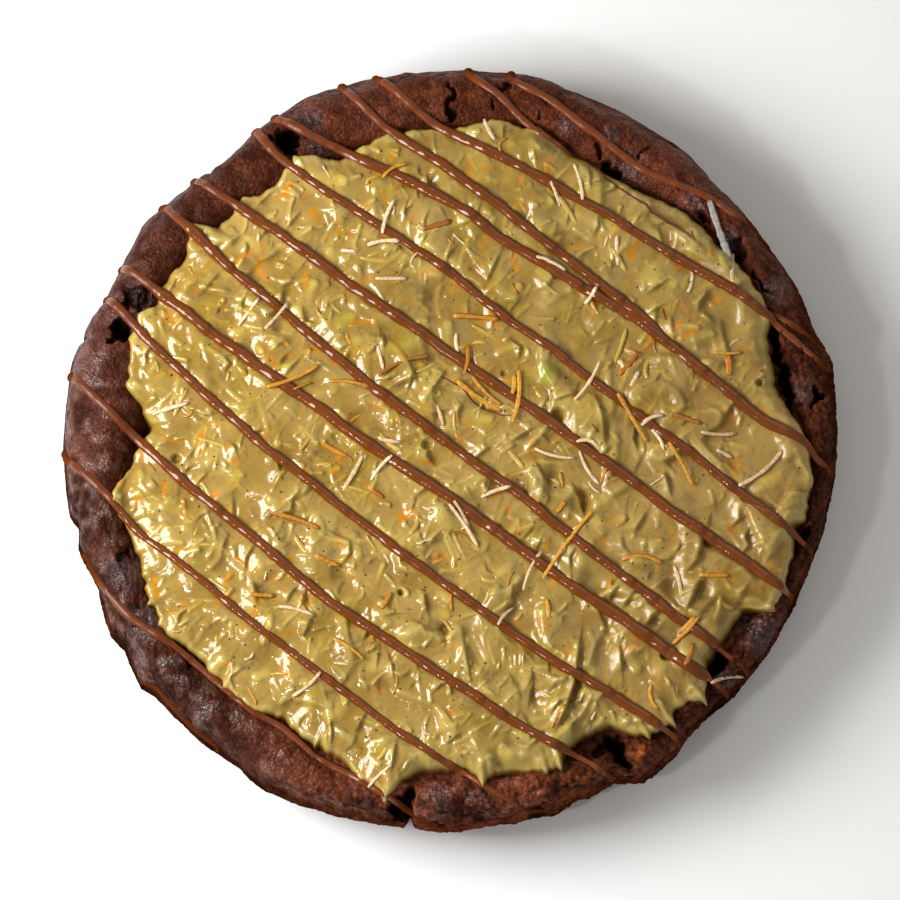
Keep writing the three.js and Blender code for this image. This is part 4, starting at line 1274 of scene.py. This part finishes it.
def build_specks():
    """Dark specks of nut skin in the cream."""
    draw = np.random.default_rng(81)
    heap = Heap()
    for _ in range(SPECKS):
        x, y = scattered(draw, 49)
        size = 0.07 + 0.14 * draw.uniform() ** 3
        corners, faces = chip(draw, size)
        tint = between(NUT_SKIN, draw.uniform())
        if at(DEPTH, x, y) > 1.0 and at(BEDS, x, y) < 0.4:
            corners = corners * [1, 1, 0.6] + [x, y, float(at(CREAM, x, y)) + size * 0.25]
            heap.add(corners, np.empty((0, 4), int), faces, tint)
    return heap.piece("specks", "pistachio", ["pistachio_cream"])


# ---------------------------------------------------------------- materials

class Look:
    """A material, with short ways to add nodes to it. Sizes are in millimetres."""

    def __init__(self, name):
        self.material = bpy.data.materials.new(name)
        self.material.use_nodes = True
        self.tree = self.material.node_tree

    def feed(self, node, inputs):
        """Gives each of a node's inputs a value, or joins it to another node's output."""
        for slot, value in inputs.items():
            if isinstance(value, bpy.types.NodeSocket):
                self.tree.links.new(value, node.inputs[slot])
            else:
                node.inputs[slot].default_value = value

    def add(self, kind, inputs=None, **properties):
        """Adds a node and returns its outputs."""
        node = self.tree.nodes.new("ShaderNode" + kind)
        for key, value in properties.items():
            setattr(node, key, value)
        self.feed(node, inputs or {})
        return node.outputs

    def surface(self, inputs):
        """Gives the shader its inputs and returns the finished material."""
        self.feed(self.tree.nodes["Principled BSDF"], inputs)
        return self.material

    def place(self):
        """The place on the object."""
        return self.add("TexCoord")["Object"]

    def tint(self):
        """The mesh's own colour and alpha."""
        return self.add("VertexColor", layer_name="tint")

    def noise(self, size, detail=3.0, roughness=0.55, output="Fac"):
        """Noise whose features are about as wide as size."""
        return self.add("TexNoise", {
            "Vector": self.place(), "Scale": 1 / (size * MM), "Detail": detail, "Roughness": roughness,
        })[output]

    def cells(self, size, vector):
        """Grains about as wide as size, each with a colour and a distance from its middle."""
        return self.add("TexVoronoi", {"Vector": vector, "Scale": 1 / (size * MM)})

    def ranged(self, value, low, high, to_low, to_high):
        """Moves a value from one range to another, and no further."""
        return self.add("MapRange", {0: value, 1: low, 2: high, 3: to_low, 4: to_high})[0]

    def calculated(self, operation, first, second):
        """A sum, product or the like of two values."""
        return self.add("Math", {0: first, 1: second}, operation=operation)[0]

    def scaled(self, colour, share):
        """The colour made darker or lighter."""
        return self.add("VectorMath", {0: colour, "Scale": share}, operation="SCALE")[0]

    def varied_tint(self, size, low, high):
        """The mesh's own colour, lighter and darker with fine noise."""
        share = self.ranged(self.noise(size), 0.3, 0.7, low, high)
        return self.scaled(self.tint()["Color"], share)

    def mix(self, share, first, second):
        """A colour between two."""
        return self.add("Mix", {"Factor": share, 6: first, 7: second}, data_type="RGBA")[2]

    def bump(self, height, strength, distance, **before):
        """Makes the surface look uneven, on top of what came before."""
        inputs = {"Height": height, "Strength": strength, "Distance": distance * MM}
        return self.add("Bump", {**inputs, **before})["Normal"]


def opaque(colour):
    """A colour given as it looks on the screen, for a node's input."""
    return (*linear(colour), 1)


def biscuit_material():
    """Baked crumb: fine grains, each with a shade and a gloss of its own, and painted shade in the gaps
    between.
    """
    look = Look("baked_dough")
    shift = look.noise(0.5, 2.0, 0.5, "Color")
    shift_size = (0.35 * MM, 0.35 * MM, 0.35 * MM)
    bent = look.add("VectorMath", {0: shift, 1: shift_size, 2: look.place()}, operation="MULTIPLY_ADD")
    grains = look.cells(FINE_GRAIN_SIZE, bent[0])
    own = look.add("SeparateColor", {0: grains["Color"]})
    shade = look.ranged(own[0], 0.0, 1.0, 0.76, 1.3)
    # Painted shade in the gaps between the grains.
    gap = look.ranged(grains["Distance"], 0.3, 0.75, 1.0, 0.68)
    tint = look.tint()
    coarse = look.bump(look.noise(0.9, 4.0, 0.6), 0.45, 0.35)
    grain_height = look.ranged(grains["Distance"], 0.0, 0.8, 1.0, 0.0)
    return look.surface({
        "Base Color": look.scaled(tint["Color"], look.calculated("MULTIPLY", shade, gap)),
        "Normal": look.bump(grain_height, 0.7, 0.2, Normal=coarse),
        "Roughness": look.ranged(own[1], 0.0, 1.0, 0.22, 0.6),
        "Specular IOR Level": look.ranged(tint["Alpha"], 0.0, 1.0, 0.0, 0.8),
    })


def cream_material():
    """Glossy cream with fine dark dots, less glossy where the tint's alpha is low."""
    look = Look("pistachio_cream_glossy")
    dots = look.ranged(look.cells(1.3, look.place())["Distance"], 0.05, 0.09, 1.0, 0.0)
    rough = look.ranged(look.noise(1.4), 0.35, 0.65, 0.06, 0.19)
    dull = look.ranged(look.tint()["Alpha"], 0.0, 1.0, 0.2, 0.0)
    return look.surface({
        "Base Color": look.mix(dots, look.varied_tint(0.6, 0.92, 1.08), opaque(DOT)),
        "Normal": look.bump(look.noise(0.7, 2.0), 0.25, 0.12),
        "Roughness": look.calculated("ADD", rough, dull),
        "Specular IOR Level": 0.5,
    })


def chocolate_material():
    """Milk chocolate. The tint says how smooth and how reflecting it is, and carries the painted light
    and shade of the strands on the rim.
    """
    look = Look("milk_chocolate")
    tint = look.add("SeparateColor", {0: look.tint()["Color"]})
    thick = look.mix(look.noise(2.5), opaque(CHOCOLATE[0]), opaque(CHOCOLATE[1]))
    colour = look.mix(tint[0], opaque(THIN_CHOCOLATE), thick)
    return look.surface({
        # The tint's third part is painted light and shade.
        "Base Color": look.scaled(colour, tint[2]),
        "Normal": look.bump(look.noise(1.3, 1.0), 0.35, 0.2),
        "Roughness": look.ranged(tint[0], 0.0, 1.0, 0.28, 0.07),
        "Specular IOR Level": look.ranged(tint[1], 0.35, 1.0, 0.0, 0.45),
        "Subsurface Weight": 0.05,
        "Subsurface Scale": 0.5 * MM,
    })


def thread_material():
    """Dry, toasted pastry."""
    look = Look("dry_thread")
    return look.surface({
        "Base Color": look.varied_tint(0.5, 0.68, 1.25),
        "Normal": look.bump(look.noise(0.25), 0.4, 0.1),
        "Roughness": look.ranged(look.noise(0.6), 0.3, 0.7, 0.34, 0.52),
        "Subsurface Weight": 0.1,
        "Subsurface Scale": 0.4 * MM,
    })


# ---------------------------------------------------------------- stage, light and camera

FLOOR_REACH = 4.0
FLOOR_TONES = (0.86, 0.86, 0.86, 1), (0.88, 0.88, 0.88, 1)
DAYLIGHT = (1, 0.97, 0.92, 1)
DAYLIGHT_STRENGTH = 0.36
CAMERA_ELEVATION = 80
CAMERA_DISTANCE = 1.5
CAMERA_TARGET = (0, -1.56 * MM, 17 * MM)
CAMERA_LENS = 431
CAMERA_SENSOR = 36
CAMERA_CLIP = 20
LIGHT_TARGET = (0, 0, 0.015)

# Square lights: name, place and side in metres, power, colour.
LIGHTS = [
    ("key", (-0.21, 0.0, 0.18), 0.15, 1.13, (1, 1, 1)),
    ("spark", (-0.156, -0.157, 0.335), 0.026, 0.17, (1, 1, 1)),
    ("fill", (0.25, 0.3, 0.5), 0.4, 0.35, (1, 0.95, 0.88)),
]


def add_floor():
    """A large, pale, very faintly mottled floor."""
    look = Look("pale_floor")
    material = look.surface({
        "Base Color": look.mix(look.noise(300), *FLOOR_TONES),
        "Roughness": 0.9,
        "Specular IOR Level": 0.0,
    })
    mesh = bpy.data.meshes.new("floor")
    r = FLOOR_REACH
    mesh.from_pydata([(-r, -r, 0), (r, -r, 0), (r, r, 0), (-r, r, 0)], [], [(0, 1, 2, 3)])
    mesh.materials.append(material)
    add_object("floor", mesh)


def aim(thing, place, target):
    """Puts a light or camera at a place and turns it to a target."""
    place, target = mathutils.Vector(place), mathutils.Vector(target)
    thing.location = place
    thing.rotation_euler = (target - place).to_track_quat("-Z", "Y").to_euler()


def add_lights():
    """Soft daylight from all round and the lights of the list."""
    scene = bpy.context.scene
    world = bpy.data.worlds.new("world")
    world.use_nodes = True
    background = world.node_tree.nodes["Background"].inputs
    background["Color"].default_value = DAYLIGHT
    background["Strength"].default_value = DAYLIGHT_STRENGTH
    scene.world = world
    scene.view_settings.view_transform = "Standard"
    scene.view_settings.look = "None"
    for name, place, side, power, colour in LIGHTS:
        light = bpy.data.lights.new(name, "AREA")
        light.size = side
        light.energy = power
        light.color = colour
        aim(add_object(name, light), place, LIGHT_TARGET)


def add_camera():
    """A camera far away that looks down steeply."""
    data = bpy.data.cameras.new("camera")
    data.lens = CAMERA_LENS
    data.sensor_width = CAMERA_SENSOR
    data.clip_end = CAMERA_CLIP
    camera = add_object("camera", data)
    rise = math.radians(CAMERA_ELEVATION)
    away = mathutils.Vector((0, -math.cos(rise), math.sin(rise))) * CAMERA_DISTANCE
    aim(camera, mathutils.Vector(CAMERA_TARGET) + away, CAMERA_TARGET)
    bpy.context.scene.camera = camera


# ---------------------------------------------------------------- build

def give(material, *pieces):
    """Covers the pieces with a material."""
    for piece in pieces:
        piece.data.materials.append(material)


add_camera()
biscuit = build_biscuit()
cream = build_cream()
coated = build_coated_shreds()
drizzle, routes = build_strands()
covered = covered_surface(routes)
threads = [build_threads(covered, *kind) for kind in THREADS]
specks = build_specks()

give(biscuit_material(), biscuit)
give(cream_material(), *cream, coated)
give(chocolate_material(), drizzle)
give(thread_material(), *threads, specks)

add_floor()
add_lights()
